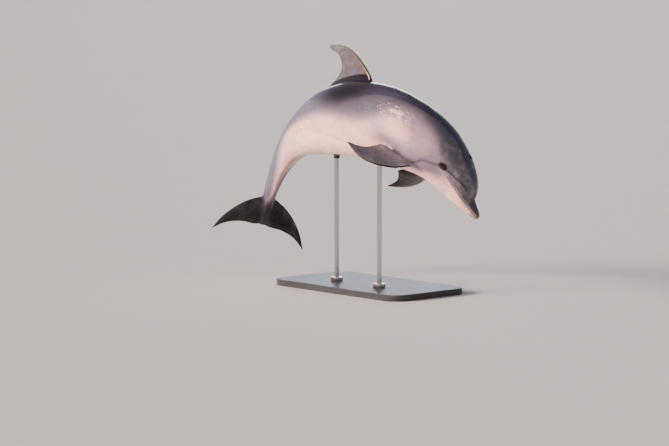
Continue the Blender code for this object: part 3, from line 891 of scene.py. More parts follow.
def markings(told):
    """The masks of the coat's colours and of its painted shade and light, from what each vert was told."""
    station, lift = told["station"], lift_of(told["angle"])
    _, tall, middle, _ = section(station)

    def over(rows, blend):
        """1 well over a line of lifts, 0 well under it."""
        return ease(-1.0, 1.0, (lift - curve_of(rows)(station)) / blend)

    softness = 5 + 17 * ease(0.36, 0.46, station) + 10 * (1 - ease(0.10, 0.17, station))
    blend = 12 + 18 * ease(0.14, 0.21, station) - 8 * ease(0.28, 0.38, station)
    under = MOUTH_HEIGHT(station) * LENGTH - (middle + np.sin(np.radians(lift)) * tall)
    in_jaw = 1 - ease(0.095, 0.145, station)
    pale = in_jaw * ease(-0.001, 0.004, under) + (1 - in_jaw) * (1 - over(BELLY_EDGE, 12))
    side = in_jaw * (1 - ease(-0.012, 0.000, under)) + (1 - in_jaw) * over(SIDE_EDGE, blend)
    cream = (1 - over(CREAM_EDGE, 4.5)) * plateau(0.33, 0.37, 0.70, 0.735, station)
    cream = np.maximum(cream, 0.85 * bump(station, 0.074, 0.032) * ease(0.002, 0.012, under))
    from_eye = np.hypot((station - EYE_STATION - 0.001) * LENGTH / 0.027,
                        np.radians(lift + 2.5) * tall / 0.0185)
    lines = 0.66 * stripe(BRIDLE, station, lift, 0.0080, 0.014, 0.004)
    lines += 0.52 * stripe(FLIPPER_STRIPE, station, lift, 0.0140, 0.004, 0.020)
    lines += 0.15 * bump(lift, 24, 9) * plateau(0.055, 0.075, 0.11, 0.14, station)
    ear = bump((station - 0.1665) * LENGTH, 0.0, 0.0022) * bump(lift, -10.5, 1.2)
    masks = {
        "cape": over(CAPE_EDGE, softness),
        "side": side,
        "head": 1 - ease(0.13, 0.22, station),
        "pale": pale,
        "cream": cream,
        "beak": ease(-10, 30, lift) * (1 - ease(0.040, 0.062, station)),
        "lines": np.maximum(lines, ear),
        # Painted shade under the eye, before the flippers and over them.
        "shade": spots(PAINTED_SHADE_SPOTS, station, lift),
        "lip": bump(under, 0.0, 0.0030) * (1 - ease(MOUTH_CORNER, MOUTH_CORNER + 0.010, station)),
        "chin": (1 - ease(0.012, 0.040, station)) * ease(-0.004, 0.004, under),
        # Painted warm sunlight on the flank over the flipper.
        "glow": bump(station, 0.272, 0.042) * bump(lift, 2, 18),
        "over_eye": bump(from_eye, 1.65, 0.42) * ease(-12, 14, lift + 300 * (station - EYE_STATION)),
        "tail": np.maximum(told["fluke"], 0.9 * ease(0.875, 0.960, station)),
        "wet": bump(station, 0.300, 0.062) * bump(lift, 17, 19) * (1 - told["paddle"]),
        # Darker under the dorsal fin: partly the cape's own dark, partly painted shade, which is darkest as a
        # band at the fin's foot.
        "saddle": np.maximum(bump(station, 0.460, 0.100) * ease(-20, 40, lift), 1.3 * told["foot"]),
    }
    return {name: np.clip(values, 0, 1) for name, values in masks.items()}


def straighten(points):
    """The places of points if the body lay straight, nose at the origin: back, to the right and up."""
    station = np.concatenate([body_coordinates(part)[0] for part in np.array_split(points, 24)])
    place, _, right, up = spine(station)
    reach = points - place
    return np.stack([station * LENGTH, (reach * right).sum(-1), (reach * up).sum(-1)], -1)


# ------------------------------------------------------------
# Materials.

class Nodes:
    """A material's node tree, written as sums."""

    def __init__(self, name):
        self.material = bpy.data.materials.new(name)
        self.material.use_nodes = True
        self.tree = self.material.node_tree
        self.shader = self.tree.nodes["Principled BSDF"]

    def put(self, socket, value):
        if isinstance(value, bpy.types.NodeSocket):
            self.tree.links.new(value, socket)
        elif value is not None:
            socket.default_value = (*value, 1.0) if socket.type == "RGBA" else value

    def add(self, kind, *values, **settings):
        node = self.tree.nodes.new("ShaderNode" + kind)
        for name, value in settings.items():
            setattr(node, name, value)
        for socket, value in zip(node.inputs, values):
            self.put(socket, value)
        return node

    def math(self, operation, first, second=None, third=None):
        return self.add("Math", first, second, third, operation=operation).outputs[0]

    def plus(self, first, second):
        return self.math("ADD", first, second)

    def times(self, first, second):
        return self.math("MULTIPLY", first, second)

    def scaled(self, value, scale, offset):
        return self.math("MULTIPLY_ADD", value, scale, offset)

    def step(self, value, low, high):
        """0 below low, 1 above high."""
        return self.add("MapRange", value, low, high, 0.0, 1.0, interpolation_type="SMOOTHSTEP").outputs[0]

    def mix(self, share, first, second, blend="MIX"):
        node = self.tree.nodes.new("ShaderNodeMix")
        node.data_type = "RGBA"
        node.blend_type = blend
        self.put(node.inputs["Factor"], share)
        self.put(node.inputs[6], first)
        self.put(node.inputs[7], second)
        return node.outputs[2]

    def mask(self, name):
        return self.add("Attribute", attribute_name=name).outputs["Fac"]

    def place(self, scale=(1.0, 1.0, 1.0), attribute=None):
        """The object's own coordinates, or those that an attribute holds, stretched."""
        if attribute:
            where = self.add("Attribute", attribute_name=attribute).outputs["Vector"]
        else:
            where = self.add("TexCoord").outputs["Object"]
        return self.add("Mapping", where, None, None, scale, vector_type="POINT").outputs[0]

    def noise(self, where, scale, detail=3.0, roughness=0.55, distortion=0.0):
        node = self.tree.nodes.new("ShaderNodeTexNoise")
        self.put(node.inputs["Vector"], where)
        for name, value in (("Scale", scale), ("Detail", detail), ("Roughness", roughness),
                            ("Distortion", distortion)):
            node.inputs[name].default_value = value
        return node.outputs["Fac"]

    def bump(self, height, distance, strength=1.0, below=None):
        node = self.tree.nodes.new("ShaderNodeBump")
        node.inputs["Strength"].default_value = strength
        node.inputs["Distance"].default_value = distance
        self.put(node.inputs["Height"], height)
        self.put(node.inputs["Normal"], below)
        return node.outputs["Normal"]

    def finish(self, **values):
        for name, value in values.items():
            self.put(self.shader.inputs[name.replace("_", " ")], value)
        return self.material


def skin_material():
    """Wet dolphin skin: dark cape, grey sides, pink and cream belly, dark fins, under a film of water."""
    colours = bpy.context.scene.dolphin_colours
    n = Nodes("wet_skin")
    where = n.place(attribute="flow")
    broad = n.noise(n.place((0.6, 1.0, 1.0), "flow"), 4.0, 2.0)
    cloudy = n.noise(n.place((0.7, 1.0, 1.0), "flow"), 12.0, 4.0, 0.6)
    mottled = n.noise(where, 42.0, 4.0, 0.62)
    fine = n.noise(where, 240.0, 3.0, 0.6)

    def ragged(name, amount, low=0.35, high=0.65):
        """A mask whose edge wanders with the clouds."""
        return n.step(n.plus(n.mask(name), n.scaled(cloudy, amount, -0.5 * amount)), low, high)

    def edged(fin, low, high):
        """A fin's colour, dark along its thin edges."""
        wander = n.scaled(mottled, 0.3, -0.15)
        return n.mix(n.step(n.plus(n.mask("edge"), wander), low, high), fin, colours.fin_edge)

    coat = n.mix(n.step(broad, 0.35, 0.68), colours.flank, colours.flank_warm)
    # Painted warm sunlight on the flank over the flipper.
    coat = n.mix(ragged("glow", 0.30, 0.05, 0.95), coat, colours.glow)
    coat = n.mix(ragged("pale", 0.30, 0.05, 0.95), coat, colours.belly)
    coat = n.mix(ragged("cream", 0.20), coat, colours.cream)
    # Painted shade under the eye and round the flippers.
    coat = n.mix(n.times(n.mask("shade"), 0.70), coat, colours.shade)
    blotches = n.step(n.plus(mottled, n.times(cloudy, 0.8)), 0.75, 1.10)
    head = n.mix(blotches, colours.head, colours.head_pale)
    head = n.mix(n.times(n.step(broad, 0.45, 0.65), 0.45), head, colours.head_brown)
    side = n.mix(ragged("head", 0.30, 0.1, 0.9), colours.side, head)
    coat = n.mix(ragged("side", 0.40, 0.02, 0.98), coat, side)
    coat = n.mix(ragged("cape", 0.25, 0.10, 0.90), coat, colours.cape)
    # Darker under the dorsal fin: partly the cape's own dark, partly painted shade, darkest at the fin's
    # foot.
    coat = n.mix(n.times(ragged("saddle", 0.30, 0.05, 0.95), 0.90), coat, colours.saddle)
    coat = n.mix(n.times(ragged("beak", 0.25, 0.05, 0.85), 0.80), coat, colours.beak)
    coat = n.mix(n.times(n.mask("over_eye"), 0.50), coat, colours.over_eye)
    coat = n.mix(n.times(ragged("lines", 0.10, 0.02, 0.85), 0.90), coat, colours.lines)

    back, _, up = n.add("SeparateXYZ", where).outputs
    patch_long, patch_high = 0.0265, 0.0190
    aside = n.scaled(up, 1 / patch_high, 0.0270 / patch_high)
    along = n.scaled(back, 1 / patch_long, -(EYE_STATION * LENGTH + 0.002) / patch_long)
    from_eye = n.plus(n.times(aside, aside), n.times(along, along))
    patch = n.step(n.scaled(mottled, 0.5, n.scaled(from_eye, -1.0, 0.75)), -0.38, 0.38)
    coat = n.mix(n.times(patch, 0.93), coat, colours.lines)

    clouds = n.step(n.scaled(mottled, 0.35, n.times(cloudy, 0.65)), 0.38, 0.66)
    fin = n.mix(clouds, colours.fin, colours.fin_pale)
    # Painted warm light behind the dorsal fin's leading edge.
    fin = n.mix(n.times(n.mask("warm"), n.scaled(cloudy, 0.8, 0.5)), fin, colours.fin_lead_painted_light)
    coat = n.mix(ragged("fin", 0.40, 0.20, 0.80), coat, edged(fin, 0.30, 0.80))
    paddle = n.mix(n.step(cloudy, 0.40, 0.70), colours.paddle, colours.paddle_pale)
    # Painted shade on the flippers' under faces.
    paddle = n.mix(n.mask("under"), paddle, colours.paddle_under_shade)
    coat = n.mix(ragged("paddle", 0.35, 0.1, 0.9), coat, edged(paddle, 0.20, 0.85))
    fluke = n.mix(n.step(cloudy, 0.40, 0.70), colours.fluke, colours.fluke_pale)
    coat = n.mix(ragged("tail", 0.30, 0.15, 0.90), coat, edged(fluke, 0.20, 0.85))

    for name, share in (("chin", 0.80), ("lip", 0.60), ("lid", 0.92)):
        coat = n.mix(n.times(n.mask(name), share), coat, getattr(colours, name))
    # Painted shade down the blowhole and behind the lids.
    coat = n.mix(n.mask("deep"), coat, colours.deep)
    scratches = n.noise(n.place((2.2, 75.0, 75.0), "flow"), 1.0, 2.0, 0.5, 0.6)
    scratches = n.times(n.step(scratches, 0.66, 0.72), n.step(cloudy, 0.52, 0.66))
    coat = n.mix(n.times(scratches, 0.16), coat, colours.scratches)
    dapple = n.times(n.scaled(mottled, 0.50, 0.75), n.scaled(fine, 0.16, 0.92))
    dapple = n.times(dapple, n.scaled(cloudy, 0.76, 0.64))
    coat = n.mix(1.0, coat, n.add("CombineColor", *[dapple] * 3).outputs[0], "MULTIPLY")

    pores = n.bump(n.noise(where, 420.0, 3.0, 0.6), 0.00020, 0.5)
    chop = n.times(n.noise(n.place((0.50, 1.0, 1.0), "flow"), 72.0, 1.0, 0.4, 0.3), n.mask("wet"))
    chop = n.bump(chop, 0.0100, 1.0, pores)
    ripples = n.bump(n.noise(n.place((0.6, 1.0, 1.0), "flow"), 34.0, 3.0, 0.55, 0.6), 0.0022, 0.42, chop)
    film = n.times(n.scaled(cloudy, 0.18, 0.16), n.scaled(n.mask("wet"), -0.35, 1.0))
    return n.finish(Base_Color=coat, Roughness=film, Normal=ripples, IOR=1.34, Coat_Weight=0.22,
                    Coat_Roughness=0.10, Coat_IOR=1.33)


def eye_material():
    """A dark eye: brown iris with fine flecks, a wide black pupil, under a clear wet surface."""
    colours = bpy.context.scene.dolphin_colours
    n = Nodes("dolphin_eye")
    radial = n.mask("radial")
    flecks = n.noise(n.place(), 900.0, 3.0, 0.6)
    iris = n.mix(n.step(flecks, 0.30, 0.75), colours.iris, colours.iris_light)
    ball = n.mix(n.step(radial, 0.58, 0.70), iris, colours.eye_white)
    ball = n.mix(n.math("SUBTRACT", 1.0, n.step(n.mask("pupil"), 0.85, 1.05)), ball, colours.pupil)
    ball = n.mix(n.step(radial, 0.80, 1.0), ball, colours.lid)
    return n.finish(Base_Color=ball, Roughness=0.20, IOR=1.34, Coat_Weight=0.40, Coat_Roughness=0.03,
                    Coat_IOR=1.33)


def gasket_material():
    """Matt black rubber with a faint grain."""
    colours = bpy.context.scene.dolphin_colours
    n = Nodes("stand_gasket")
    grain = n.noise(n.place(), 260.0, 3.0)
    tone = n.mix(grain, [c * 0.7 for c in colours.gasket], colours.gasket)
    return n.finish(Base_Color=tone, Roughness=n.scaled(grain, 0.2, 0.55), Normal=n.bump(grain, 0.0002, 0.5))


def board_material():
    """Dark satin lacquer over a faint wood grain, with paler clouds where it is worn."""
    colours = bpy.context.scene.dolphin_colours
    n = Nodes("stand_lacquer")
    grain = n.noise(n.place((1.5, 22.0, 22.0)), 4.0, 5.0, 0.6, 0.8)
    cloudy = n.noise(n.place(), 5.0, 3.0)
    tone = n.mix(n.step(grain, 0.30, 0.75), colours.board, colours.board_light)
    tone = n.mix(n.times(n.step(cloudy, 0.45, 0.75), 0.35), tone, colours.board_light)
    skin = n.bump(n.noise(n.place(), 380.0, 2.0), 0.00015, 0.4, n.bump(grain, 0.0005, 0.35))
    return n.finish(Base_Color=tone, Roughness=n.scaled(cloudy, 0.16, 0.46), Normal=skin, Coat_Weight=0.12,
                    Coat_Roughness=0.30)


def steel_material():
    """Brushed stainless steel, its fine lines running round the rods."""
    colours = bpy.context.scene.dolphin_colours
    n = Nodes("stand_steel")
    lines = n.noise(n.place((6.0, 6.0, 900.0)), 1.0, 3.0, 0.6)
    rough = n.plus(n.scaled(lines, 0.14, 0.20), n.times(n.noise(n.place(), 14.0, 3.0), 0.10))
    tone = n.mix(lines, colours.steel, colours.steel_light)
    return n.finish(Base_Color=tone, Roughness=rough, Metallic=1.0, Normal=n.bump(lines, 0.00008, 0.5))


def floor_material():
    """Plain pale studio floor."""
    look = bpy.context.scene.dolphin_studio
    n = Nodes("studio_floor")
    tone = n.mix(n.noise(n.place(), 0.35, 3.0), [c * 0.97 for c in look.floor_colour], look.floor_colour)
    return n.finish(Base_Color=tone, Roughness=0.75, IOR=1.3)


# ------------------------------------------------------------
# Sizes and colours that a user would change.

def metres(name, description, default):
    return FloatProperty(name=name, description=description, default=default, unit="LENGTH", precision=4)


def colour(name, description, default):
    return FloatVectorProperty(name=name, description=description, default=default, subtype="COLOR", min=0.0,
                               max=1.0)


class DolphinSizes(PropertyGroup):
    sides: IntProperty(name="Sides", description="Faces round the body", default=120, min=48, max=160)
    head_step: metres("Head Step", "Distance between the rows of faces over the head", 0.0036)
    trunk_step: metres("Trunk Step", "Distance between the rows of faces along the trunk", 0.0070)
    fin_rings: IntProperty(name="Fin Rings", description="Rows of faces from foot to tip", default=34)
    fairing_rings: IntProperty(name="Fairing Rings", description="Rows of faces round a foot", default=9)
    mouth_depth: metres("Mouth Depth", "Depth of the groove between the lips", 0.0042)
    mouth_width: metres("Mouth Width", "Half width of that groove", 0.0017)
    crease_depth: metres("Crease Depth", "Depth of the crease between beak and melon", 0.0042)
    eye_radius: metres("Eye Radius", "Radius of each eyeball", 0.0160)
    eye_opening_long: metres("Eye Opening Length", "From corner to corner of the lids", 0.0270)
    eye_opening_high: metres("Eye Opening Height", "Between the lids at their middle", 0.0150)
    blowhole_width: metres("Blowhole Width", "Across the head", 0.0430)
    blowhole_gape: metres("Blowhole Gape", "How far the blowhole stands open", 0.0220)
    base_corner: metres("Base Corner", "Radius of the base's corners", 0.1000)
    base_edge: metres("Base Edge", "Radius of the base's top edge", 0.0080)
    base_foot: metres("Base Foot", "Radius of the base's lowest edge", 0.0015)
    line_inset: metres("Line Inset", "From the base's side to the fine line round its top", 0.0220)
    line_depth: metres("Line Depth", "Depth of that line", 0.0012)
    collar_edge: metres("Collar Edge", "Radius of the collars' edges", 0.0030)
    screw_radius: metres("Screw Radius", "Radius of the collars' screw heads", 0.0052)
    gasket_wall: metres("Soft Top Wall", "Thickness of the soft ring round each rod's top", 0.0050)
    gasket_height: metres("Soft Top Height", "Height of that ring", 0.0240)
    gasket_edge: metres("Soft Top Edge", "Radius of that ring's edges", 0.0025)
    rod_in_belly: metres("Rod In Belly", "How far each rod runs into the belly", 0.0040)


class DolphinColours(PropertyGroup):
    cape: colour("Cape", "Back, from melon to tail", (0.070, 0.061, 0.101))
    side: colour("Side", "Sides under the cape", (0.129, 0.111, 0.152))
    head: colour("Head", "Melon and cheeks", (0.138, 0.116, 0.138))
    head_pale: colour("Head, Paler", "Blotches on melon and cheeks", (0.221, 0.186, 0.213))
    head_brown: colour("Head, Browner", "Broad brownish clouds on melon and cheeks", (0.161, 0.125, 0.110))
    flank: colour("Flank", "Lower sides, where cooler", (0.386, 0.281, 0.372))
    flank_warm: colour("Warm Flank", "Lower sides, where warmer", (0.520, 0.345, 0.363))
    # Painted warm sunlight on the flank over the flipper.
    glow: colour("Glow", "Warm cloud over the flipper", (0.900, 0.510, 0.440))
    # Painted shade under the eye and round the flippers.
    shade: colour("Shade", "Greyer clouds before and over the flippers", (0.156, 0.121, 0.156))
    belly: colour("Belly", "Pinkish underside", (0.800, 0.450, 0.430))
    cream: colour("Cream", "Palest patch under the loin", (1.000, 0.620, 0.520))
    # Darker under the dorsal fin: partly the cape's own dark, partly painted shade, darkest at the fin's
    # foot.
    saddle: colour("Saddle", "Darkest cloud, under the dorsal fin", (0.008, 0.007, 0.008))
    beak: colour("Beak", "Upper jaw", (0.050, 0.039, 0.040))
    lines: colour("Lines", "Eye patch and stripes", (0.018, 0.014, 0.018))
    over_eye: colour("Over the Eye", "Paler crescent over each eye", (0.276, 0.212, 0.225))
    lip: colour("Lip", "Edges of the mouth", (0.120, 0.065, 0.040))
    chin: colour("Chin", "Tip of the lower jaw", (0.200, 0.130, 0.075))
    lid: colour("Lid", "Margins of the eyelids", (0.012, 0.009, 0.010))
    # Painted shade down the blowhole and behind the lids.
    deep: colour("Deep", "Inside the blowhole", (0.004, 0.003, 0.003))
    scratches: colour("Scratches", "Thin healed scratches", (0.55, 0.50, 0.52))
    fin: colour("Dorsal Fin", "Sides of the dorsal fin", (0.094, 0.076, 0.088))
    fin_pale: colour("Dorsal Fin, Paler", "Paler clouds on the dorsal fin", (0.138, 0.114, 0.128))
    # Painted warm light behind the dorsal fin's leading edge.
    fin_lead_painted_light: colour("Leading Zone", "Brown zone behind the fin's leading edge", (0.160, 0.115, 0.086))
    fin_edge: colour("Thin Edges", "Edges and tips of all the fins", (0.014, 0.011, 0.015))
    paddle: colour("Flippers", "Flippers", (0.304, 0.247, 0.271))
    paddle_pale: colour("Flippers, Paler", "Paler clouds on the flippers", (0.432, 0.354, 0.396))
    # Painted shade on the flippers' under faces.
    paddle_under_shade: colour("Flippers, Under", "Under faces of the flippers", (0.042, 0.037, 0.037))
    fluke: colour("Flukes", "Flukes and the end of the tail stock", (0.028, 0.024, 0.030))
    fluke_pale: colour("Flukes, Paler", "Paler clouds on the flukes", (0.055, 0.046, 0.056))
    iris: colour("Iris", "Darker part of the iris", (0.008, 0.004, 0.003))
    iris_light: colour("Iris, Lighter", "Flecks of the iris", (0.030, 0.015, 0.008))
    pupil: colour("Pupil", "Pupil", (0.002, 0.002, 0.003))
    eye_white: colour("Eye White", "Rest of the eyeball", (0.015, 0.011, 0.010))
    board: colour("Board", "Stand's base", (0.030, 0.031, 0.034))
    board_light: colour("Board, Lighter", "Grain of the stand's base", (0.050, 0.051, 0.055))
    steel: colour("Steel", "Rods and collars", (0.500, 0.500, 0.510))
    steel_light: colour("Steel, Lighter", "Brushed lines", (0.660, 0.660, 0.670))
    gasket: colour("Gasket", "Soft ring between each rod and the belly", (0.030, 0.029, 0.030))


class DolphinStudio(PropertyGroup):
    azimuth: FloatProperty(name="Azimuth", description="Camera's heading", default=math.radians(48.18),
                           subtype="ANGLE")
    elevation: FloatProperty(name="Elevation", description="Camera's height as an angle",
                             default=math.radians(6.108), subtype="ANGLE")
    distance: metres("Distance", "Camera to the point it aims at", 15.0)
    aim: FloatVectorProperty(name="Aim", description="Point aimed at, from the middle of the model",
                             default=(0.357, -0.364, -0.278), subtype="TRANSLATION")
    lens: FloatProperty(name="Lens", description="Focal length in millimetres", default=140.04)
    floor_colour: colour("Floor", "Plain studio floor", (0.78, 0.78, 0.79))
    sky: colour("Sky", "Tint of the light from all round", (0.80, 0.86, 1.0))
    ceiling: FloatProperty(name="Ceiling", description="Light from straight above", default=0.15)
    walls: FloatProperty(name="Walls", description="Light from all round, low down", default=0.58)
    key: FloatProperty(name="Key", description="Strength of the low warm main light", default=11.2)
    rim: FloatProperty(name="Rim", description="Strength of the cool light from behind", default=0.45)
    glint: FloatProperty(name="Glint", description="Strength of the small high light", default=4.8)


# ------------------------------------------------------------
# Operators.

def new_piece(name, bm):
    """A smooth-shaded object that takes over the bmesh, at the origin."""
    mesh = bpy.data.meshes.new(name)
    bm.to_mesh(mesh)
    bm.free()
    mesh.shade_smooth()
    made = bpy.data.objects.new(name, mesh)
    bpy.context.scene.collection.objects.link(made)
    return made


class DOLPHIN_OT_skin(Operator):
    """Make the one skin over jaws, head, trunk, tail, fins and flukes"""
    bl_idname = "dolphin.skin"
    bl_label = "Skin"

    def execute(self, context):
        skin = Skin(context.scene.dolphin_sizes.sides)
        skin.place(skin.bm.verts)
        small = self.shelves(0.02, 0.25, 0.92, 0.22, 0.07)
        large = self.shelves(0.01, 0.197, 0.63, 0.185, 0.27)
        grow_lids(skin, "eye_right", 1, next(small))
        grow_lids(skin, "eye_left", -1, next(small))
        grow_blowhole(skin, next(small))
        feet = [grow_fin(skin, DORSAL_FIN, dorsal_place, "fin", next(large))]
        feet += [grow_fin(skin, FLIPPER, flipper_place(side, back, dip, twist), "paddle", next(large), side)
                 for side, back, dip, twist in FLIPPERS]
        self.relax_feet(skin, feet, 12)
        feet = [grow_fin(skin, FLUKE, fluke_place(side), "fluke", next(large)) for side in (1, -1)]
        self.relax_feet(skin, feet, 9)
        bmesh.ops.recalc_face_normals(skin.bm, faces=skin.bm.faces)
        piece = new_piece("skin", skin.bm)
        self.paint(piece.data)
        piece.data.materials.append(skin_material())
        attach(piece, "root")
        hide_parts(*FLESH_NODES)
        return {"FINISHED"}

    @staticmethod
    def shelves(left, step, bottom, width, height):
        """Places on the map, one after another along a row."""
        while True:
            yield left, bottom, width, height
            left += step

    @staticmethod
    def relax_feet(skin, feet, ring_count):
        """Smooths each fin's rim and first rings, and the body round them."""
        for rim, grown in feet:
            first_rings = [vert for ring in grown[:ring_count] for vert in ring]
            relax(skin, rim + first_rings, reach=3, passes=10)

    def paint(self, mesh):
        """Gives the mesh its masks."""
        told = {}
        for name in Skin.TOLD:
            values = np.zeros(len(mesh.vertices), np.float32)
            mesh.attributes[name].data.foreach_get("value", values)
            told[name] = values.astype(float)
        for name, values in markings(told).items():
            mesh.attributes.new(name, "FLOAT", "POINT").data.foreach_set("value", values.astype(np.float32))
        places = np.zeros(len(mesh.vertices) * 3, np.float32)
        mesh.vertices.foreach_get("co", places)
        flow = straighten(places.reshape(-1, 3).astype(float)).astype(np.float32)
        mesh.attributes.new("flow", "FLOAT_VECTOR", "POINT").data.foreach_set("vector", flow.ravel())


class DOLPHIN_OT_eyes(Operator):
    """Make the two eyeballs"""
    bl_idname = "dolphin.eyes"
    bl_label = "Eyes"

    def execute(self, context):
        material = eye_material()
        for name, side in (("eye_right", 1), ("eye_left", -1)):
            piece = self.make(context, name, side)
            piece.data.materials.append(material)
            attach(piece, "root")
            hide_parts(name)
        return {"FINISHED"}

    def make(self, context, name, side):
        """A ball whose clear front bulges a little, turned so that its pole looks out of the lids."""
        sizes = context.scene.dolphin_sizes
        low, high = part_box(name)
        centre = np.array((low + high) / 2)
        _, ahead, _, _ = spine(EYE_STATION)
        _, angle, _ = body_coordinates(centre[None])
        surface = on_body(EYE_STATION, float(angle[0]))
        out = unit(surface - centre)
        front = unit(ahead - out * (ahead @ out))
        top = np.cross(out, front) * side
        bm = bmesh.new()
        bmesh.ops.create_uvsphere(bm, u_segments=64, v_segments=48, radius=1.0)
        radial = bm.verts.layers.float.new("radial")
        pupil = bm.verts.layers.float.new("pupil")
        pupil_long, pupil_high, bulge_share = 0.34, 0.20, 0.030
        for vert in bm.verts:
            x, y, z = vert.co
            away = math.hypot(x, y) if z > 0 else 2 - math.hypot(x, y)
            vert[radial] = away
            vert[pupil] = math.hypot(x / pupil_long, (y - 0.03) / pupil_high) if z > 0 else 9.0
            bulge = 1 + bulge_share * float(1 - ease(0.35, 0.75, away))
            vert.co = centre + (front * x + top * y + out * z) * sizes.eye_radius * bulge
        bmesh.ops.recalc_face_normals(bm, faces=bm.faces)
        return new_piece("ball_" + name, bm)


class DOLPHIN_OT_stand(Operator):
    """Make the stand: lacquered base, two brushed rods with soft tops, and a screwed collar on each rod"""
    bl_idname = "dolphin.stand"
    bl_label = "Stand"

    def execute(self, context):
        sizes = context.scene.dolphin_sizes
        self.finish(self.base(sizes), board_material(), "base_paint", "stand_base")
        steel, gasket = steel_material(), gasket_material()
        for place in ("front", "rear"):
            rod, collar = "stand_rod_" + place, "stand_collar_" + place
            self.finish(self.rod(rod, sizes), steel, "rod_steel", rod)
            self.finish(self.collar(collar, sizes), steel, "rod_steel", collar)
            made = self.finish(self.gasket(rod, sizes), gasket, "base_paint")
            made.name = "gasket_" + place
        return {"FINISHED"}

    @staticmethod
    def finish(bm, material, slot, node=None):
        """Makes a hard-edged piece of a bmesh, in place of a solid node if one is named."""
        bmesh.ops.recalc_face_normals(bm, faces=bm.faces)
        piece = new_piece(node + "_finished" if node else "soft_top", bm)
        piece.data.set_sharp_from_angle(angle=math.radians(38))
        piece.data.materials.append(material)
        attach(piece, "root")
        if node:
            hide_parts(node)
        return piece

    @staticmethod
    def round_edges(bm, edges, offset, segments):
        """Rounds edges off by an offset."""
        bmesh.ops.bevel(bm, geom=edges, offset=offset, affect="EDGES", segments=segments, profile=0.5,
                        material=-1)

    @staticmethod
    def level(edge):
        """Whether both ends of an edge are at one height."""
        return abs(edge.verts[0].co.z - edge.verts[1].co.z) < 1e-5

    @staticmethod
    def extent(node):
        """Foot, top, middle and radius of an upright round node."""
        low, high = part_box(node)
        return low.z, high.z, (low + high) / 2, (high.x - low.x) / 2

    @staticmethod
    def cylinder(bm, radius, low, high, middle=(0.0, 0.0), segments=64):
        """A capped cylinder between two heights. Returns its verts."""
        place = Matrix.Translation((middle[0], middle[1], (low + high) / 2))
        return bmesh.ops.create_cone(bm, cap_ends=True, segments=segments, radius1=radius, radius2=radius,
                                     depth=high - low, matrix=place)["verts"]

    def base(self, sizes):
        """A flat board with rounded corners, a softened top edge and a fine line cut inside it."""
        low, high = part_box("stand_base")
        bm = bmesh.new()
        bmesh.ops.create_cube(bm, size=1.0)
        bmesh.ops.scale(bm, verts=bm.verts, vec=high - low)
        bmesh.ops.translate(bm, verts=bm.verts, vec=(low + high) / 2)
        self.round_edges(bm, [edge for edge in bm.edges if not self.level(edge)], sizes.base_corner, 16)
        top = max(bm.faces, key=lambda face: face.calc_center_median().z)
        deep, slope = sizes.line_depth, 0.0009
        for across, depth in ((sizes.line_inset, 0.0), (slope, -deep), (slope, deep)):
            bmesh.ops.inset_region(bm, faces=[top], thickness=across, depth=depth, use_even_offset=True)
        rim = [edge for edge in bm.edges if all(vert.co.z > high.z - 1e-5 for vert in edge.verts)
               and any(face.normal.z < 0.5 for face in edge.link_faces) and edge.calc_face_angle(0) > 1.2]
        self.round_edges(bm, rim, sizes.base_edge, 5)
        foot = [edge for edge in bm.edges if all(vert.co.z < low.z + 1e-5 for vert in edge.verts)]
        self.round_edges(bm, foot, sizes.base_foot, 2)
        return bm

    def ring(self, radius, low, high, middle, edge):
        """A cylinder with rounded rims."""
        bm = bmesh.new()
        self.cylinder(bm, radius, low, high, middle)
        self.round_edges(bm, [item for item in bm.edges if self.level(item)], edge, 4)
        return bm

    def rod(self, node, sizes):
        """An upright rod that runs a little way into the belly."""
        foot, top, middle, radius = self.extent(node)
        bm = bmesh.new()
        self.cylinder(bm, radius, foot, top + sizes.rod_in_belly, middle)
        return bm

    def collar(self, node, sizes):
        """A turned ring with softened edges, and the socket heads of two screws in its sides."""
        foot, top, middle, radius = self.extent(node)
        bm = self.ring(radius, foot, top, middle, sizes.collar_edge)
        half_length, chamfer, socket_depth, socket_wall = 0.0040, (0.0007, 0.0005), 0.0022, 0.32
        for turn in (-45, 135):
            head = self.cylinder(bm, sizes.screw_radius, -half_length, half_length, segments=24)
            end = max({face for vert in head for face in vert.link_faces},
                      key=lambda face: face.calc_center_median().z)
            bmesh.ops.inset_region(bm, faces=[end], thickness=chamfer[0], depth=chamfer[1])
            bmesh.ops.inset_region(bm, faces=[end], thickness=sizes.screw_radius * socket_wall)
            sunk = bmesh.ops.extrude_face_region(bm, geom=[end])["geom"]
            socket = [item for item in sunk if isinstance(item, bmesh.types.BMVert)]
            bmesh.ops.delete(bm, geom=[end], context="FACES_ONLY")
            bmesh.ops.translate(bm, verts=socket, vec=(0, 0, -socket_depth))
            whole = self.joined(head)
            way = Matrix.Rotation(math.radians(turn), 4, "Z") @ Matrix.Rotation(math.radians(90), 4, "Y")
            bmesh.ops.transform(bm, verts=whole, matrix=Matrix.Translation(middle) @ way @
                                Matrix.Translation((0, 0, radius - socket_depth)))
        return bm

    @staticmethod
    def joined(verts):
        """All the verts that hang together with these."""
        found, fresh = set(verts), set(verts)
        while fresh:
            fresh = {edge.other_vert(vert) for vert in fresh for edge in vert.link_edges} - found
            found |= fresh
        return list(found)

    def gasket(self, node, sizes):
        """A soft ring round the top of a rod, half sunk in the belly."""
        _, top, middle, radius = self.extent(node)
        radius += sizes.gasket_wall
        return self.ring(radius, top - sizes.gasket_height, top, middle, sizes.gasket_edge)


SUNS = (  # name, then in degrees how far round from the camera, how high and how wide, then its tint
    ("key", -80, 15, 26, (1.0, 0.82, 0.71)),
    ("glint", -56, 62, 9, (1.0, 0.56, 0.31)),
    ("rim", 178, 9, 16, (0.82, 0.87, 1.0)),
)


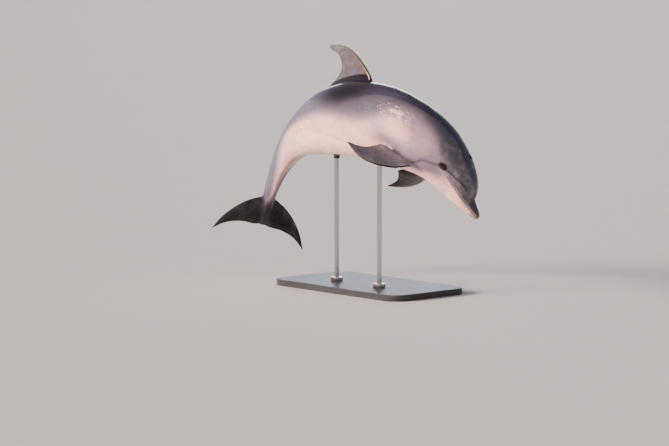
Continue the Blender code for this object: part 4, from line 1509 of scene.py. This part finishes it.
class DOLPHIN_OT_studio(Operator):
    """Make the pale floor, the soft lights and the camera"""
    bl_idname = "dolphin.studio"
    bl_label = "Studio"

    def execute(self, context):
        look = context.scene.dolphin_studio
        low, high = CAD_BOX
        self.make_floor()
        self.make_world(context, look)
        self.make_camera(context, look, (low + high) / 2)
        suns = {row[0]: self.make_sun(look, *row) for row in SUNS}
        suns["key"].visible_glossy = False
        suns["glint"].visible_diffuse = False
        return {"FINISHED"}

    @staticmethod
    def toward(azimuth, elevation):
        """The direction out to something at an azimuth, which is 0 along -Y, and an elevation."""
        level = math.cos(elevation)
        return Vector((math.sin(azimuth) * level, -math.cos(azimuth) * level, math.sin(elevation)))

    def make_floor(self):
        bm = bmesh.new()
        bmesh.ops.create_grid(bm, x_segments=1, y_segments=1, size=150.0)
        floor = new_piece("floor", bm)
        floor.data.materials.append(floor_material())

    def make_world(self, context, look):
        """Bright low down, all round, and dim overhead."""
        world = bpy.data.worlds.new("studio")
        world.use_nodes = True
        tree = world.node_tree
        height = tree.nodes.new("ShaderNodeSeparateXYZ")
        tree.links.new(tree.nodes.new("ShaderNodeTexCoord").outputs["Generated"], height.inputs[0])
        fall = tree.nodes.new("ShaderNodeMapRange")
        fall.interpolation_type = "SMOOTHSTEP"
        for name, value in (("From Min", 0.02), ("From Max", 0.75), ("To Min", look.walls),
                            ("To Max", look.ceiling)):
            fall.inputs[name].default_value = value
        tree.links.new(height.outputs["Z"], fall.inputs["Value"])
        background = tree.nodes["Background"]
        background.inputs["Color"].default_value = (*look.sky, 1.0)
        tree.links.new(fall.outputs[0], background.inputs["Strength"])
        context.scene.world = world

    def make_camera(self, context, look, middle):
        data = bpy.data.cameras.new("camera")
        data.lens = look.lens
        data.sensor_width = 36.0
        data.clip_end = 500.0
        camera = bpy.data.objects.new("camera", data)
        back = self.toward(look.azimuth, look.elevation)
        camera.location = middle + Vector(look.aim) + back * look.distance
        camera.rotation_mode = "QUATERNION"
        camera.rotation_quaternion = (-back).to_track_quat("-Z", "Y")
        context.scene.collection.objects.link(camera)
        context.scene.camera = camera

    def make_sun(self, look, name, aside, above, across, tint):
        azimuth, elevation = look.azimuth + math.radians(aside), math.radians(above)
        data = bpy.data.lights.new(name, "SUN")
        data.angle = math.radians(across)
        data.energy = getattr(look, name)
        data.color = tint
        light = bpy.data.objects.new(name, data)
        light.rotation_mode = "QUATERNION"
        light.rotation_quaternion = self.toward(azimuth, elevation).to_track_quat("Z", "Y")
        bpy.context.scene.collection.objects.link(light)
        return light


class VIEW3D_PT_dolphin(Panel):
    bl_label = "Leaping Dolphin"
    bl_space_type = "VIEW_3D"
    bl_region_type = "UI"
    bl_category = "Dolphin"

    def draw(self, context):
        for operator in OPERATORS:
            self.layout.operator(operator.bl_idname)


OPERATORS = (DOLPHIN_OT_skin, DOLPHIN_OT_eyes, DOLPHIN_OT_stand, DOLPHIN_OT_studio)
SETTINGS = {
    "dolphin_sizes": DolphinSizes,
    "dolphin_colours": DolphinColours,
    "dolphin_studio": DolphinStudio,
}
CLASSES = (*SETTINGS.values(), *OPERATORS, VIEW3D_PT_dolphin)


def register():
    for item in CLASSES:
        bpy.utils.register_class(item)
    for name, group in SETTINGS.items():
        setattr(bpy.types.Scene, name, PointerProperty(type=group))


def unregister():
    for name in SETTINGS:
        delattr(bpy.types.Scene, name)
    for item in reversed(CLASSES):
        bpy.utils.unregister_class(item)


def main():
    register()
    bpy.ops.dolphin.skin()
    bpy.ops.dolphin.eyes()
    bpy.ops.dolphin.stand()
    bpy.ops.dolphin.studio()


if __name__ == "__main__":
    main()
